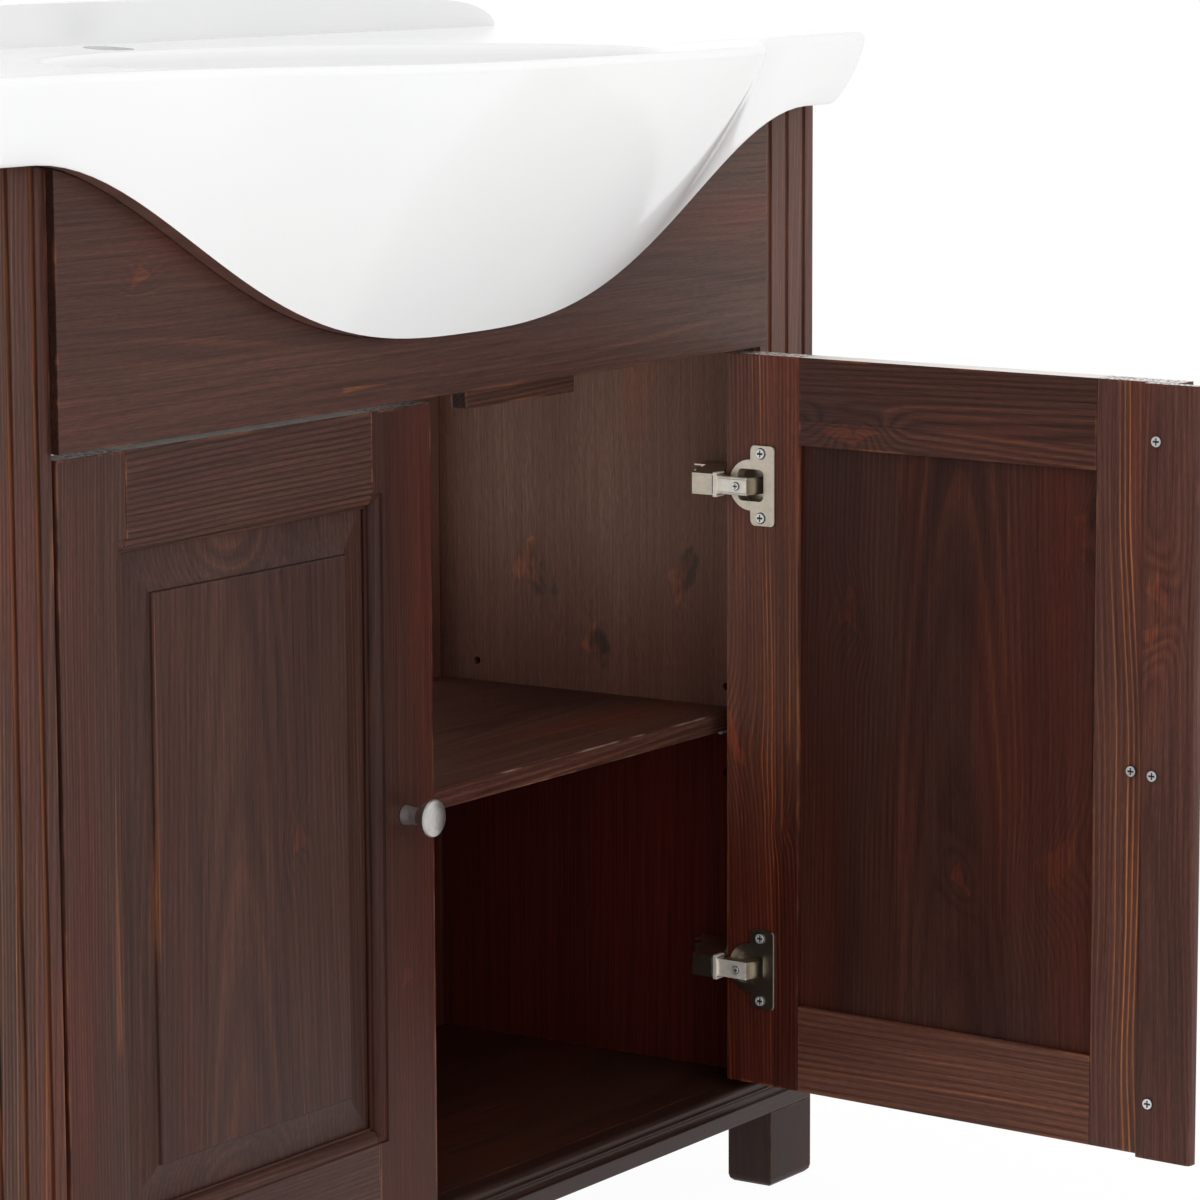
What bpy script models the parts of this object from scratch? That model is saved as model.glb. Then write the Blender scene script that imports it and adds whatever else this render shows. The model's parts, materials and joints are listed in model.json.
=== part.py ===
"""Two-door pine vanity unit with a bow-fronted ceramic basin, in metres, +Z up.

The cabinet's front faces -Y and its back stands against a wall at +Y.  The left door is
shut and the right door stands open.  Local coordinates start on the floor, under the
middle of the pilasters' front plane.  For the hinges, u runs from a pilaster's inner side
towards the middle of the opening, and v from the front plane to the back.
"""

import math

import bmesh
import bpy
from mathutils import Matrix, Vector

# Clearances
SEAT_GAP = 0.0003
HINGE_GAP = 0.004
MEETING_GAP = 0.006

# Cabinet
OPENING_W = 0.784
PILASTER_W = 0.072
PILASTER_T = 0.024
FLUTE_PITCH = 0.023
FLUTE_W = 0.005
FLUTE_DEPTH = 0.004
SIDE_T = 0.020
LINING_T = 0.0257
CABINET_DEPTH = 0.324
LEG_H = 0.058
LEG_W = 0.056
LEG_D = 0.037
LEG_ROUND = 0.006
PLINTH_H = 0.025
PLINTH_T = 0.022
PLINTH_BAND_H = 0.0115
PLINTH_COVE_R = 0.0045
PLINTH_FILLET = 0.0012
BOTTOM_T = 0.018
APRON_PROUD = 0.0055
APRON_LEAST_H = 0.041
BACK_RAIL_T = 0.020
BACK_TOP_RAIL_H = 0.080
BACK_PANEL_DROP = 0.0015
DOOR_STOP_START = 0.055
DOOR_STOP_L = 0.1286
DOOR_STOP_H = 0.035
DOOR_STOP_T = 0.0125
DOOR_STOP_DROP = 0.016

# Shelf and its pegs
SHELF_TOP_Z = 0.3575
SHELF_T = 0.015
SHELF_FRONT_V = 0.032
SHELF_BACK_GAP = 0.004
SHELF_SIDE_GAP = 0.0008
SHELF_ROUND = 0.003
PEG_FRONT_V = 0.0455
PEG_BACK_INSET = 0.0305
PEG_ROW_PITCH = 0.032
PEG_D = 0.005
PEG_HOLE_D = 0.0056
PEG_L = 0.018
PEG_HOLE_DEPTH = 0.010

# Doors
DOOR_T = 0.020
DOOR_BOTTOM_GAP = 0.007
DOOR_TOP_GAP = 0.004
FRAME_W = 0.063
MOULD_W = 0.0095
MOULD_DEPTH = 0.0078
MOULD_QUIRK = 0.0015
GROOVE_FRONT_V = 0.0097
GROOVE_W = 0.0066
GROOVE_DEPTH = 0.008
TONGUE_L = 0.007
PANEL_GAP = 0.001
PANEL_BEVEL_W = 0.0155
PANEL_BEVEL_RISE = 0.005
PANEL_SHOULDER = 0.0025
STRIP_W = 0.044
STRIP_T = 0.008
STRIP_OVERHANG = 0.022
STRIP_ROUND = 0.003
OPEN_ANGLE = math.radians(86.0)

# Knobs and screws
KNOB_D = 0.025
KNOB_STEM_D = 0.013
KNOB_L = 0.027
KNOB_CAP_T = 0.0105
KNOB_FROM_EDGE = 0.032
KNOB_BORE_DEPTH = 0.012
SCREW_D = 0.004
SCREW_HEAD_D = 0.0085
SCREW_HEAD_T = 0.0022
SCREW_CLEARANCE = 0.0003
STRIP_SCREW_L = 0.016
STRIP_SCREW_FROM_END = 0.039

# Concealed hinges
AXIS_U = 0.010
AXIS_V = 0.0075
HINGE_FROM_TOP = 0.094
HINGE_FROM_BOTTOM = 0.086
CUP_FROM_EDGE = 0.022
CUP_R = 0.0172
CUP_HOLE_GAP = 0.0004
CUP_WALL = 0.0014
CUP_DEPTH = 0.012
CUP_FLOOR_T = 0.0013
FLANGE_T = 0.0015
FLANGE_RIM = 0.0013
FLANGE_H = 0.058
FLANGE_W = 0.0207
FLANGE_OFFSET = 0.0106
FLANGE_ROUND = 0.003
ARM_H = 0.0155
ARM_CLEARANCE = 0.0005
ARM_REACH = 0.0105
ARM_HUG_END = 80.0
ARM_CRANK_V = 0.040
ARM_BASE_V = 0.062
ARM_BASE_W = 0.0147
ARM_NECK_V = 0.052
ARM_SHOULDER_V = 0.040
ARM_EDGE = 0.0006
PLATE_T = 0.0017
PLATE_H = 0.0145
PLATE_FRONT_V = 0.036
PLATE_BACK_V = 0.066

# Basin
RIM_Z = 0.850
BASIN_SIDE_OVERHANG = 0.030
WING_OVERHANG = 0.033
BOW = 0.114
BOW_HALF_W = 0.250
BOW_FULLNESS = 6
BASIN_CORNER_R = 0.022
RIM_ROUND = 0.006
SKIRT_BELLY_H = 0.181
SKIRT_WING_H = 0.0515
SEAT_HALF_W = 0.4255
SEAT_SWEEP = 1.4
SEAT_EDGE = 0.001
SKIRT_LIP = 0.0133
SKIRT_FLARE = 1.2
SEAT_CORNER_R = 0.004
FLANGE_SEAT_W = 0.018
SHELL_T = 0.010
BOWL_HALF_W = 0.235
BOWL_HALF_D = 0.175
BOWL_CENTRE_V = 0.068
BOWL_DEPTH = 0.115
BOWL_FULLNESS = 2.6
BOWL_LIP_R = 0.008
DECK_FALL = 0.0035
DRAIN_R = 0.0225
TAP_HOLE_D = 0.035
TAP_HOLE_V = 0.275
UPSTAND_H = 0.0285
UPSTAND_FALL = 0.0075
UPSTAND_T = 0.022
UPSTAND_END_L = 0.080

# Facets
ROUND_STEPS = 32
SCREW_STEPS = 14
FLUTE_STEPS = 6
FRONT_STATIONS = 36
CORNER_STATIONS = 6
SIDE_STATIONS = 4
BACK_STATIONS = 7
SKIRT_RINGS = 10

# Finishes: colour, roughness, metallic
PINE = ((0.085, 0.043, 0.030), 0.42, 0.0)
CERAMIC = ((0.86, 0.86, 0.85), 0.08, 0.0)
NICKEL = ((0.62, 0.58, 0.52), 0.28, 1.0)
ZINC = ((0.70, 0.70, 0.68), 0.35, 1.0)

# Sizes that follow from the ones above
HALF_OPENING = OPENING_W / 2
HALF_OUTER = HALF_OPENING + PILASTER_W
SIDE_INNER_X = HALF_OUTER - SIDE_T
LINING_X = SIDE_INNER_X - SEAT_GAP - LINING_T
LINING_U = HALF_OPENING - LINING_X
BASIN_HALF_W = HALF_OUTER + BASIN_SIDE_OVERHANG
SEAT_BELLY_Z = RIM_Z - SKIRT_BELLY_H
SEAT_WING_Z = RIM_Z - SKIRT_WING_H
APRON_UNDERSIDE_Z = SEAT_BELLY_Z - APRON_LEAST_H
CARCASS_TOP_Z = SEAT_WING_Z - SEAT_GAP
PLINTH_TOP_Z = LEG_H + PLINTH_H
DOOR_BOTTOM_Z = PLINTH_TOP_Z + DOOR_BOTTOM_GAP
DOOR_TOP_Z = APRON_UNDERSIDE_Z - DOOR_TOP_GAP
DOOR_W = (OPENING_W - 2 * HINGE_GAP - MEETING_GAP - STRIP_OVERHANG) / 2
SHELF_BACK_V = CABINET_DEPTH - BACK_RAIL_T - SHELF_BACK_GAP
CUP_U = HINGE_GAP + CUP_FROM_EDGE
CUP_FLOOR_V = DOOR_T - CUP_DEPTH + CUP_FLOOR_T
SEAT_FRONT_V = -APRON_PROUD - SKIRT_LIP

PARTS = bpy.data.collections.new("vanity_unit")
CUTTERS = bpy.data.collections.new("vanity_unit_cutters")


# Helpers


def clear_scene():
    """Remove what the scene holds and link the two collections."""
    for obj in list(bpy.data.objects):
        bpy.data.objects.remove(obj, do_unlink=True)
    bpy.context.scene.collection.children.link(PARTS)
    bpy.context.scene.collection.children.link(CUTTERS)


def add_empty(name, place, parent=None):
    """Add an empty that carries sub-parts."""
    empty = bpy.data.objects.new(name, None)
    empty.empty_display_size = 0.05
    empty.location = place
    empty.parent = parent
    PARTS.objects.link(empty)
    return empty


def add_part(name, mesh, look, parent):
    """Add one sub-part of the unit, with its own material."""
    colour, roughness, metallic = look
    material = bpy.data.materials.new(name + "_finish")
    material.use_nodes = True
    shader = material.node_tree.nodes["Principled BSDF"]
    shader.inputs["Base Color"].default_value = (*colour, 1.0)
    shader.inputs["Roughness"].default_value = roughness
    shader.inputs["Metallic"].default_value = metallic
    mesh.name = name
    mesh.materials.append(material)
    part = bpy.data.objects.new(name, mesh)
    part.parent = parent
    PARTS.objects.link(part)
    return part


def add_cutter(name, mesh, parent):
    """Add a hidden solid that a sub-part is cut by or joined with."""
    cutter = bpy.data.objects.new(name, mesh)
    cutter.parent = parent
    cutter.hide_render = True
    cutter.display_type = "WIRE"
    CUTTERS.objects.link(cutter)
    return cutter


def combine(part, other, operation="DIFFERENCE"):
    """Cut a sub-part by another solid, or join the solid on."""
    step = part.modifiers.new(other.name, "BOOLEAN")
    step.operation = operation
    step.solver = "EXACT"
    step.object = other


def round_edges(part, width, segments=2):
    """Round the sharp edges of a sub-part."""
    step = part.modifiers.new("rounded_edges", "BEVEL")
    step.width = width
    step.segments = segments
    step.limit_method = "ANGLE"
    step.angle_limit = math.radians(40)


def to_mesh(shape):
    """Turn a bmesh into a mesh whose faces point out."""
    bmesh.ops.recalc_face_normals(shape, faces=shape.faces)
    mesh = bpy.data.meshes.new("solid")
    shape.to_mesh(mesh)
    shape.free()
    return mesh


def smooth(mesh, angle=35):
    """Shade a round piece smooth and keep its real edges."""
    mesh.shade_smooth()
    mesh.set_sharp_from_angle(angle=math.radians(angle))
    return mesh


def box(low, high):
    """Block between two opposite corners."""
    low, high = Vector(map(min, low, high)), Vector(map(max, low, high))
    shape = bmesh.new()
    bmesh.ops.create_cube(shape, size=1.0)
    for vert in shape.verts:
        vert.co = (low + high) / 2 + vert.co * (high - low)
    return to_mesh(shape)


PLANE_AXES = {"XY": (0, 1, 2), "XZ": (0, 2, 1), "YZ": (2, 0, 1)}


def extruded(outline, plane, low, high):
    """Flat outline in a plane, extruded along the third axis from low to high."""
    curve = bpy.data.curves.new("outline", "CURVE")
    curve.dimensions = "2D"
    curve.fill_mode = "BOTH"
    curve.extrude = (high - low) / 2
    spline = curve.splines.new("POLY")
    spline.points.add(len(outline) - 1)
    for knot, (across, along) in zip(spline.points, outline):
        knot.co = (across, along, 0.0, 1.0)
    spline.use_cyclic_u = True
    guide = bpy.data.objects.new("outline", curve)
    bpy.context.scene.collection.objects.link(guide)
    graph = bpy.context.evaluated_depsgraph_get()
    flat = bpy.data.meshes.new_from_object(guide.evaluated_get(graph))
    bpy.data.objects.remove(guide, do_unlink=True)
    shape = bmesh.new()
    shape.from_mesh(flat)
    bpy.data.meshes.remove(flat)
    bmesh.ops.remove_doubles(shape, verts=shape.verts, dist=1e-6)
    for vert in shape.verts:
        local = (vert.co.x, vert.co.y, vert.co.z + (low + high) / 2)
        vert.co = [local[axis] for axis in PLANE_AXES[plane]]
    return to_mesh(shape)


def add_bar(shape, radius, start, end, steps=ROUND_STEPS):
    """Add a round bar between two points to a bmesh."""
    run = Vector(end) - Vector(start)
    place = Matrix.Translation((Vector(start) + Vector(end)) / 2)
    turn = Vector((0.0, 0.0, 1.0)).rotation_difference(run).to_matrix().to_4x4()
    bmesh.ops.create_cone(shape, cap_ends=True, segments=steps, radius1=radius, radius2=radius,
                          depth=run.length, matrix=place @ turn)


def bar(radius, start, end, steps=ROUND_STEPS):
    """Round bar between two points."""
    shape = bmesh.new()
    add_bar(shape, radius, start, end, steps)
    return to_mesh(shape)


def turned_profile(profile):
    """Edges of a turned profile, (radius, z) points listed from top to bottom."""
    mesh = bpy.data.meshes.new("profile")
    edges = [(i, i + 1) for i in range(len(profile) - 1)]
    mesh.from_pydata([(radius, 0.0, z) for radius, z in profile], edges, [])
    return mesh


def turn(part, steps=ROUND_STEPS):
    """Turn a profile about the part's Z axis."""
    step = part.modifiers.new("turned", "SCREW")
    step.axis = "Z"
    step.steps = steps
    step.render_steps = steps
    step.use_merge_vertices = True
    step.merge_threshold = 0.00001
    step.use_smooth_shade = True


def arc(centre, radius, start, end, steps):
    """Points along an arc, with its angles in degrees."""
    points = []
    for i in range(steps + 1):
        angle = math.radians(start + (end - start) * i / steps)
        points.append((centre[0] + radius * math.cos(angle), centre[1] + radius * math.sin(angle)))
    return points


def stacked_rectangles(levels):
    """Loft through upright rectangles, each (low x, high x, low z, high z, y)."""
    shape = bmesh.new()
    rings = []
    for low_x, high_x, low_z, high_z, y in levels:
        corners = ((low_x, low_z), (high_x, low_z), (high_x, high_z), (low_x, high_z))
        rings.append([shape.verts.new((x, y, z)) for x, z in corners])
    for ring, following in zip(rings, rings[1:]):
        for i in range(4):
            j = (i + 1) % 4
            shape.faces.new((ring[i], ring[j], following[j], following[i]))
    shape.faces.new(rings[0])
    shape.faces.new(rings[-1])
    return to_mesh(shape)


# Basin


def seat_height(x):
    """Height of the S-curved seat that the basin's skirt stands on."""
    share = min(1.0, abs(x) / SEAT_HALF_W) ** SEAT_SWEEP
    return SEAT_BELLY_Z + (SEAT_WING_Z - SEAT_BELLY_Z) * math.sin(math.pi / 2 * share) ** 2


def rim_front(x):
    """Front edge of the rim: two straight wings and a bow between them."""
    return -WING_OVERHANG - BOW / (1 + (x / BOW_HALF_W) ** BOW_FULLNESS)


def front_xs(straight):
    """Stations along the right half of a front edge, from the middle to the corner."""
    return [straight * i / FRONT_STATIONS for i in range(FRONT_STATIONS + 1)]


def plan_loop(half_w, corner_r, front, back, fronts_x=None):
    """Closed plan loop of the basin; front gives the front edge's y at an x."""
    straight = half_w - corner_r
    half = [(x, front(x)) for x in (fronts_x or front_xs(straight))]
    corner_y = front(straight) + corner_r
    half += arc((straight, corner_y), corner_r, -90, 0, CORNER_STATIONS)[1:]
    for i in range(1, SIDE_STATIONS + 1):
        half.append((half_w, corner_y + (back - corner_y) * i / SIDE_STATIONS))
    for i in range(1, BACK_STATIONS + 1):
        half.append((half_w * (1 - i / BACK_STATIONS), back))
    return half + [(-x, y) for x, y in reversed(half[1:-1])]


def seat_xs():
    """Stations of the seat along the right half of the front."""
    return front_xs(HALF_OUTER + SEAT_EDGE - SEAT_CORNER_R)


def flange_xs(straight):
    """Stations of the flange's inner edge: square to the seat's, then drawn in to the corner."""
    outer = seat_xs()
    start = 0.8 * straight
    squeeze = (straight - start) / (outer[-1] - start)
    return [x if x < start else start + (x - start) * squeeze for x in outer]


def raised(loop, heights):
    """Plan loop lifted to one height, or to a height for each point."""
    if isinstance(heights, float):
        heights = [heights] * len(loop)
    return [(x, y, z) for (x, y), z in zip(loop, heights)]


def between(ring, other, along, down):
    """Ring that lies between two rings, with separate shares in plan and in height."""
    points = []
    for a, b, share in zip(ring, other, along):
        points.append((a[0] + (b[0] - a[0]) * share, a[1] + (b[1] - a[1]) * share, a[2] + (b[2] - a[2]) * down))
    return points


def roundness(x, y):
    """Share of the skirt's section that is round: none on the bow, most on the ends of the wings."""
    if y > -SEAT_EDGE:
        return 0.8
    start = BOW_HALF_W * 1.2
    return 0.8 * max(0.0, (abs(x) - start) / (BASIN_HALF_W - start)) ** 2


def skirt_rings(top, bottom, steps):
    """Rings from the rim to the seat: nearly straight under the bow, round under the wings."""
    rings = []
    for i in range(1, steps):
        down = math.sin(math.pi / 2 * i / steps)
        flare = down ** SKIRT_FLARE
        bulge = 1 - math.sqrt(1 - down * down)
        shares = [flare + (bulge - flare) * roundness(x, y) for x, y, z in top]
        rings.append(between(top, bottom, shares, down))
    return rings


def bowl_ring(angles, share, grow, z):
    """Oval ring of the bowl; share scales it and grow adds a wall's thickness."""
    half_w = BOWL_HALF_W * share + grow
    half_d = BOWL_HALF_D * share + grow
    return [(half_w * math.cos(a), BOWL_CENTRE_V + half_d * math.sin(a), z) for a in angles]


def bowl_rings(angles, grow, top_z, steps):
    """Rings of a bowl's wall from its top edge down to its drain."""
    rings = []
    floor_z = RIM_Z - DECK_FALL - BOWL_DEPTH - grow
    drain_share = (DRAIN_R + grow) / (BOWL_HALF_W + grow)
    last = math.acos(drain_share ** (BOWL_FULLNESS / 2))
    for i in range(steps):
        angle = last * i / (steps - 1)
        share = math.cos(angle) ** (2 / BOWL_FULLNESS)
        depth = math.sin(angle) ** (2 / BOWL_FULLNESS) / math.sin(last) ** (2 / BOWL_FULLNESS)
        ring = bowl_ring(angles, 1.0, grow, top_z - (top_z - floor_z) * depth)
        drain = [(DRAIN_R * math.cos(a), BOWL_CENTRE_V + DRAIN_R * math.sin(a), floor_z) for a in angles]
        inward = (1 - share) / (1 - drain_share)
        rings.append([(p[0] + (q[0] - p[0]) * inward, p[1] + (q[1] - p[1]) * inward, p[2])
                      for p, q in zip(ring, drain)])
    return rings


def basin_rings():
    """Rings over the whole shell: bowl, deck, rim, skirt, seat, inside and back to the drain."""
    rim_loop = plan_loop(BASIN_HALF_W, BASIN_CORNER_R, rim_front, CABINET_DEPTH)
    crest_loop = plan_loop(BASIN_HALF_W - RIM_ROUND, BASIN_CORNER_R - RIM_ROUND,
                           lambda x: rim_front(x) + RIM_ROUND, CABINET_DEPTH - RIM_ROUND)
    inner_loop = plan_loop(BASIN_HALF_W - SHELL_T, BASIN_CORNER_R - SHELL_T,
                           lambda x: rim_front(x) + SHELL_T, CABINET_DEPTH - SHELL_T)
    seat_half = HALF_OUTER + SEAT_EDGE
    seat_loop = plan_loop(seat_half, SEAT_CORNER_R, lambda x: SEAT_FRONT_V, CABINET_DEPTH, seat_xs())
    flange_half = seat_half - FLANGE_SEAT_W
    flange_loop = plan_loop(flange_half, SEAT_CORNER_R, lambda x: FLANGE_SEAT_W - APRON_PROUD,
                            CABINET_DEPTH - FLANGE_SEAT_W, flange_xs(flange_half - SEAT_CORNER_R))
    seat_z = [seat_height(x) if y < SEAT_FRONT_V + SEAT_CORNER_R else SEAT_WING_Z for x, y in seat_loop]
    angles = [math.atan2((y - BOWL_CENTRE_V) / BOWL_HALF_D, x / BOWL_HALF_W) for x, y in rim_loop]

    lip_z = RIM_Z - DECK_FALL
    inside = bowl_rings(angles, 0.0, lip_z - BOWL_LIP_R, 8)
    lip = []
    for i in range(1, 4):
        angle = math.pi / 2 * i / 3
        lip.append(bowl_ring(angles, 1.0, BOWL_LIP_R * (1 - math.cos(angle)),
                             lip_z - BOWL_LIP_R * (1 - math.sin(angle))))
    crest = raised(crest_loop, RIM_Z)
    brow = raised(rim_loop, RIM_Z - RIM_ROUND)
    count = len(crest)
    deck = [between(lip[-1], crest, [0.35] * count, 0.3), between(lip[-1], crest, [0.75] * count, 0.85)]
    nose = []
    for i in range(1, 4):
        angle = math.pi / 8 * i
        nose.append(between(crest, brow, [math.sin(angle)] * count, 1 - math.cos(angle)))
    seat = raised(seat_loop, seat_z)
    skirt = skirt_rings(brow, seat, SKIRT_RINGS)
    flange = raised(flange_loop, seat_z)
    step = [(x, y, z + SHELL_T) for x, y, z in flange]
    soffit = raised(inner_loop, RIM_Z - RIM_ROUND - SHELL_T)
    lining = list(reversed(skirt_rings(soffit, step, SKIRT_RINGS // 2)))
    outside = bowl_rings(angles, SHELL_T, RIM_Z - RIM_ROUND - SHELL_T, 5)
    return (list(reversed(inside)) + lip + deck + [crest] + nose + [brow] + skirt + [seat, flange, step]
            + lining + [soffit] + outside)


def basin_shell():
    """Shell of the basin: a loft through its rings, closed through the drain hole."""
    shape = bmesh.new()
    rings = [[shape.verts.new(point) for point in ring] for ring in basin_rings()]
    count = len(rings[0])
    for ring, following in zip(rings, rings[1:] + rings[:1]):
        for i in range(count):
            j = (i + 1) % count
            shape.faces.new((ring[i], ring[j], following[j], following[i]))
    return smooth(to_mesh(shape), 50)


def upstand_outline():
    """Front view of the upstand at the back of the basin: a low arch with drooping ends."""
    half = BASIN_HALF_W - SEAT_EDGE
    foot = RIM_Z - RIM_ROUND
    shoulder = half - UPSTAND_END_L
    top = UPSTAND_H - UPSTAND_FALL
    right = []
    for i in range(9):
        angle = math.pi / 2 * i / 8
        right.append((shoulder + UPSTAND_END_L * math.cos(angle), RIM_Z + top * math.sin(angle)))
    for i in range(1, 6):
        share = 1 - i / 5
        right.append((shoulder * share, RIM_Z + UPSTAND_H - UPSTAND_FALL * share ** 2))
    return [(-half, foot), (half, foot)] + right + [(-x, z) for x, z in reversed(right[:-1])]


def build_basin(root):
    """One-piece ceramic basin with its upstand and tap hole."""
    basin = add_part("basin", basin_shell(), CERAMIC, root)
    back = CABINET_DEPTH - SEAT_EDGE / 2
    upstand = add_cutter("basin_upstand", extruded(upstand_outline(), "XZ", back - UPSTAND_T, back), root)
    round_edges(upstand, RIM_ROUND / 2)
    combine(basin, upstand, "UNION")
    tap_hole = bar(TAP_HOLE_D / 2, (0, TAP_HOLE_V, RIM_Z - 3 * SHELL_T), (0, TAP_HOLE_V, RIM_Z + SHELL_T))
    combine(basin, add_cutter("basin_tap_hole", tap_hole, root))


# Cabinet


def seat_cutter(root):
    """Solid above the S-curved seat, which trims the apron and the pilasters."""
    line = [(x, seat_height(x) - SEAT_GAP) for x in seat_xs()]
    end = HALF_OUTER + LEG_W
    line.append((end, SEAT_WING_Z - SEAT_GAP))
    top = [(end, RIM_Z), (-end, RIM_Z)]
    outline = [(-x, z) for x, z in reversed(line[1:])] + line + top
    return add_cutter("basin_seat", extruded(outline, "XZ", -WING_OVERHANG - BOW, PILASTER_T + SEAT_GAP / 2), root)


def pilaster_outline(side):
    """Plan of a pilaster: a board whose face has three round-bottomed flutes."""
    middle = HALF_OPENING + PILASTER_W / 2
    bottom = FLUTE_DEPTH - FLUTE_W / 2
    points = [(HALF_OPENING, PILASTER_T), (HALF_OPENING, 0.0)]
    for offset in (-FLUTE_PITCH, 0.0, FLUTE_PITCH):
        points.append((middle + offset - FLUTE_W / 2, 0.0))
        points += arc((middle + offset, bottom), FLUTE_W / 2, 180, 0, FLUTE_STEPS)
        points.append((middle + offset + FLUTE_W / 2, 0.0))
    points += [(HALF_OUTER, 0.0), (HALF_OUTER, PILASTER_T)]
    return [(side * x, y) for x, y in points]


def plinth_outline():
    """Section of the plinth rail: flat band, cove, arris, small cove and rounded top."""
    band_top = LEG_H + PLINTH_BAND_H
    cove = arc((0.0, band_top + PLINTH_COVE_R), PLINTH_COVE_R, 270, 360, 4)
    arris_z = band_top + PLINTH_COVE_R + PLINTH_FILLET
    arris_y = PLINTH_COVE_R - PLINTH_FILLET
    rest = PLINTH_TOP_Z - arris_z - PLINTH_FILLET
    small = arc((arris_y, arris_z + PLINTH_FILLET + rest / 3), rest / 3, 270, 360, 3)
    top_r = rest * 2 / 3
    top = arc((arris_y + rest / 3 + top_r, PLINTH_TOP_Z - top_r), top_r, 180, 90, 4)[1:]
    points = [(PLINTH_T, LEG_H), (0.0, LEG_H)] + cove
    points += [(arris_y, arris_z)] + small + top
    return points + [(PLINTH_T, PLINTH_TOP_Z)]


def rounded_foot(low, high):
    """Leg block whose bottom edges are rounded."""
    mesh = box(low, high)
    shape = bmesh.new()
    shape.from_mesh(mesh)
    bpy.data.meshes.remove(mesh)
    floor = min(vert.co.z for vert in shape.verts)
    edges = [edge for edge in shape.edges if all(vert.co.z < floor + LEG_ROUND for vert in edge.verts)]
    bmesh.ops.bevel(shape, geom=edges, offset=LEG_ROUND, segments=3, profile=0.5, affect="EDGES")
    return to_mesh(shape)


def build_cabinet_side(name, side, seat, root):
    """Pilaster, side panel, lining, legs and shelf pegs of one side."""
    pilaster = add_part(name + "_pilaster", extruded(pilaster_outline(side), "XY", PLINTH_TOP_Z + SEAT_GAP,
                                                     SEAT_WING_Z + SHELL_T), PINE, root)
    combine(pilaster, seat)
    panel_front = PILASTER_T + SEAT_GAP
    add_part(name + "_side_panel", box((side * SIDE_INNER_X, panel_front, LEG_H),
                                       (side * HALF_OUTER, CABINET_DEPTH, CARCASS_TOP_Z)), PINE, root)
    lining_back = CABINET_DEPTH - BACK_RAIL_T - SEAT_GAP
    lining = add_part(name + "_side_lining",
                      box((side * LINING_X, panel_front, PLINTH_TOP_Z + SEAT_GAP),
                          (side * (LINING_X + LINING_T), lining_back, CARCASS_TOP_Z)), PINE, root)

    for place, front in (("front", 0.0), ("rear", CABINET_DEPTH - LEG_D)):
        leg = rounded_foot((side * (HALF_OUTER - LEG_W), front, 0.0),
                           (side * HALF_OUTER, front + LEG_D, LEG_H - SEAT_GAP))
        add_part(f"{place}_{name}_leg", leg, PINE, root)

    holes = bmesh.new()
    peg_z = SHELF_TOP_Z - SHELF_T - SEAT_GAP - PEG_D / 2
    for place, peg_v in (("front", PEG_FRONT_V), ("rear", SHELF_BACK_V - PEG_BACK_INSET)):
        for row in (-1, 0, 1):
            hole_z = peg_z + row * PEG_ROW_PITCH
            add_bar(holes, PEG_HOLE_D / 2, (side * (LINING_X - PEG_HOLE_DEPTH), peg_v, hole_z),
                    (side * (LINING_X + PEG_HOLE_DEPTH), peg_v, hole_z), SCREW_STEPS)
        inner_end = LINING_X + PEG_HOLE_DEPTH - SEAT_GAP
        peg = bar(PEG_D / 2, (side * (inner_end - PEG_L), peg_v, peg_z), (side * inner_end, peg_v, peg_z),
                  SCREW_STEPS)
        add_part(f"{name}_{place}_shelf_peg", smooth(peg), ZINC, root)
    combine(lining, add_cutter(name + "_peg_holes", to_mesh(holes), root))


def build_cabinet(root):
    """Carcass, shelf and the stop behind the apron."""
    seat = seat_cutter(root)
    for name, side in (("left", -1), ("right", 1)):
        build_cabinet_side(name, side, seat, root)

    half = HALF_OPENING - SEAT_GAP
    apron = add_part("front_apron", box((-half, -APRON_PROUD, APRON_UNDERSIDE_Z),
                                        (half, DOOR_T, SEAT_WING_Z + SHELL_T)), PINE, root)
    combine(apron, seat)
    add_part("plinth_rail", extruded(plinth_outline(), "YZ", -HALF_OUTER, HALF_OUTER), PINE, root)

    half = SIDE_INNER_X - SEAT_GAP
    rail_front = CABINET_DEPTH - BACK_RAIL_T
    add_part("bottom_board", box((-half, PLINTH_T + SEAT_GAP, PLINTH_TOP_Z - BOTTOM_T),
                                 (half, rail_front - SEAT_GAP, PLINTH_TOP_Z)), PINE, root)
    add_part("back_top_rail", box((-half, rail_front, CARCASS_TOP_Z - BACK_TOP_RAIL_H),
                                  (half, CABINET_DEPTH, CARCASS_TOP_Z)), PINE, root)
    panel_top = SHELF_TOP_Z - SHELF_T - BACK_PANEL_DROP
    add_part("back_bottom_panel", box((-half, rail_front, LEG_H), (half, CABINET_DEPTH, panel_top)), PINE, root)

    half = LINING_X - SHELF_SIDE_GAP
    shelf = add_part("shelf", box((-half, SHELF_FRONT_V, SHELF_TOP_Z - SHELF_T),
                                  (half, SHELF_BACK_V, SHELF_TOP_Z)), PINE, root)
    round_edges(shelf, SHELF_ROUND)

    stop_front = DOOR_T + SEAT_GAP
    stop_low = APRON_UNDERSIDE_Z - DOOR_STOP_DROP
    stop = add_part("door_stop", box((DOOR_STOP_START, stop_front, stop_low),
                                     (DOOR_STOP_START + DOOR_STOP_L, stop_front + DOOR_STOP_T,
                                      stop_low + DOOR_STOP_H)), PINE, root)
    round_edges(stop, SHELF_ROUND / 3, 1)


# Doors: each is built shut, about its hinge axis, and then swung on its empty


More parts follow.
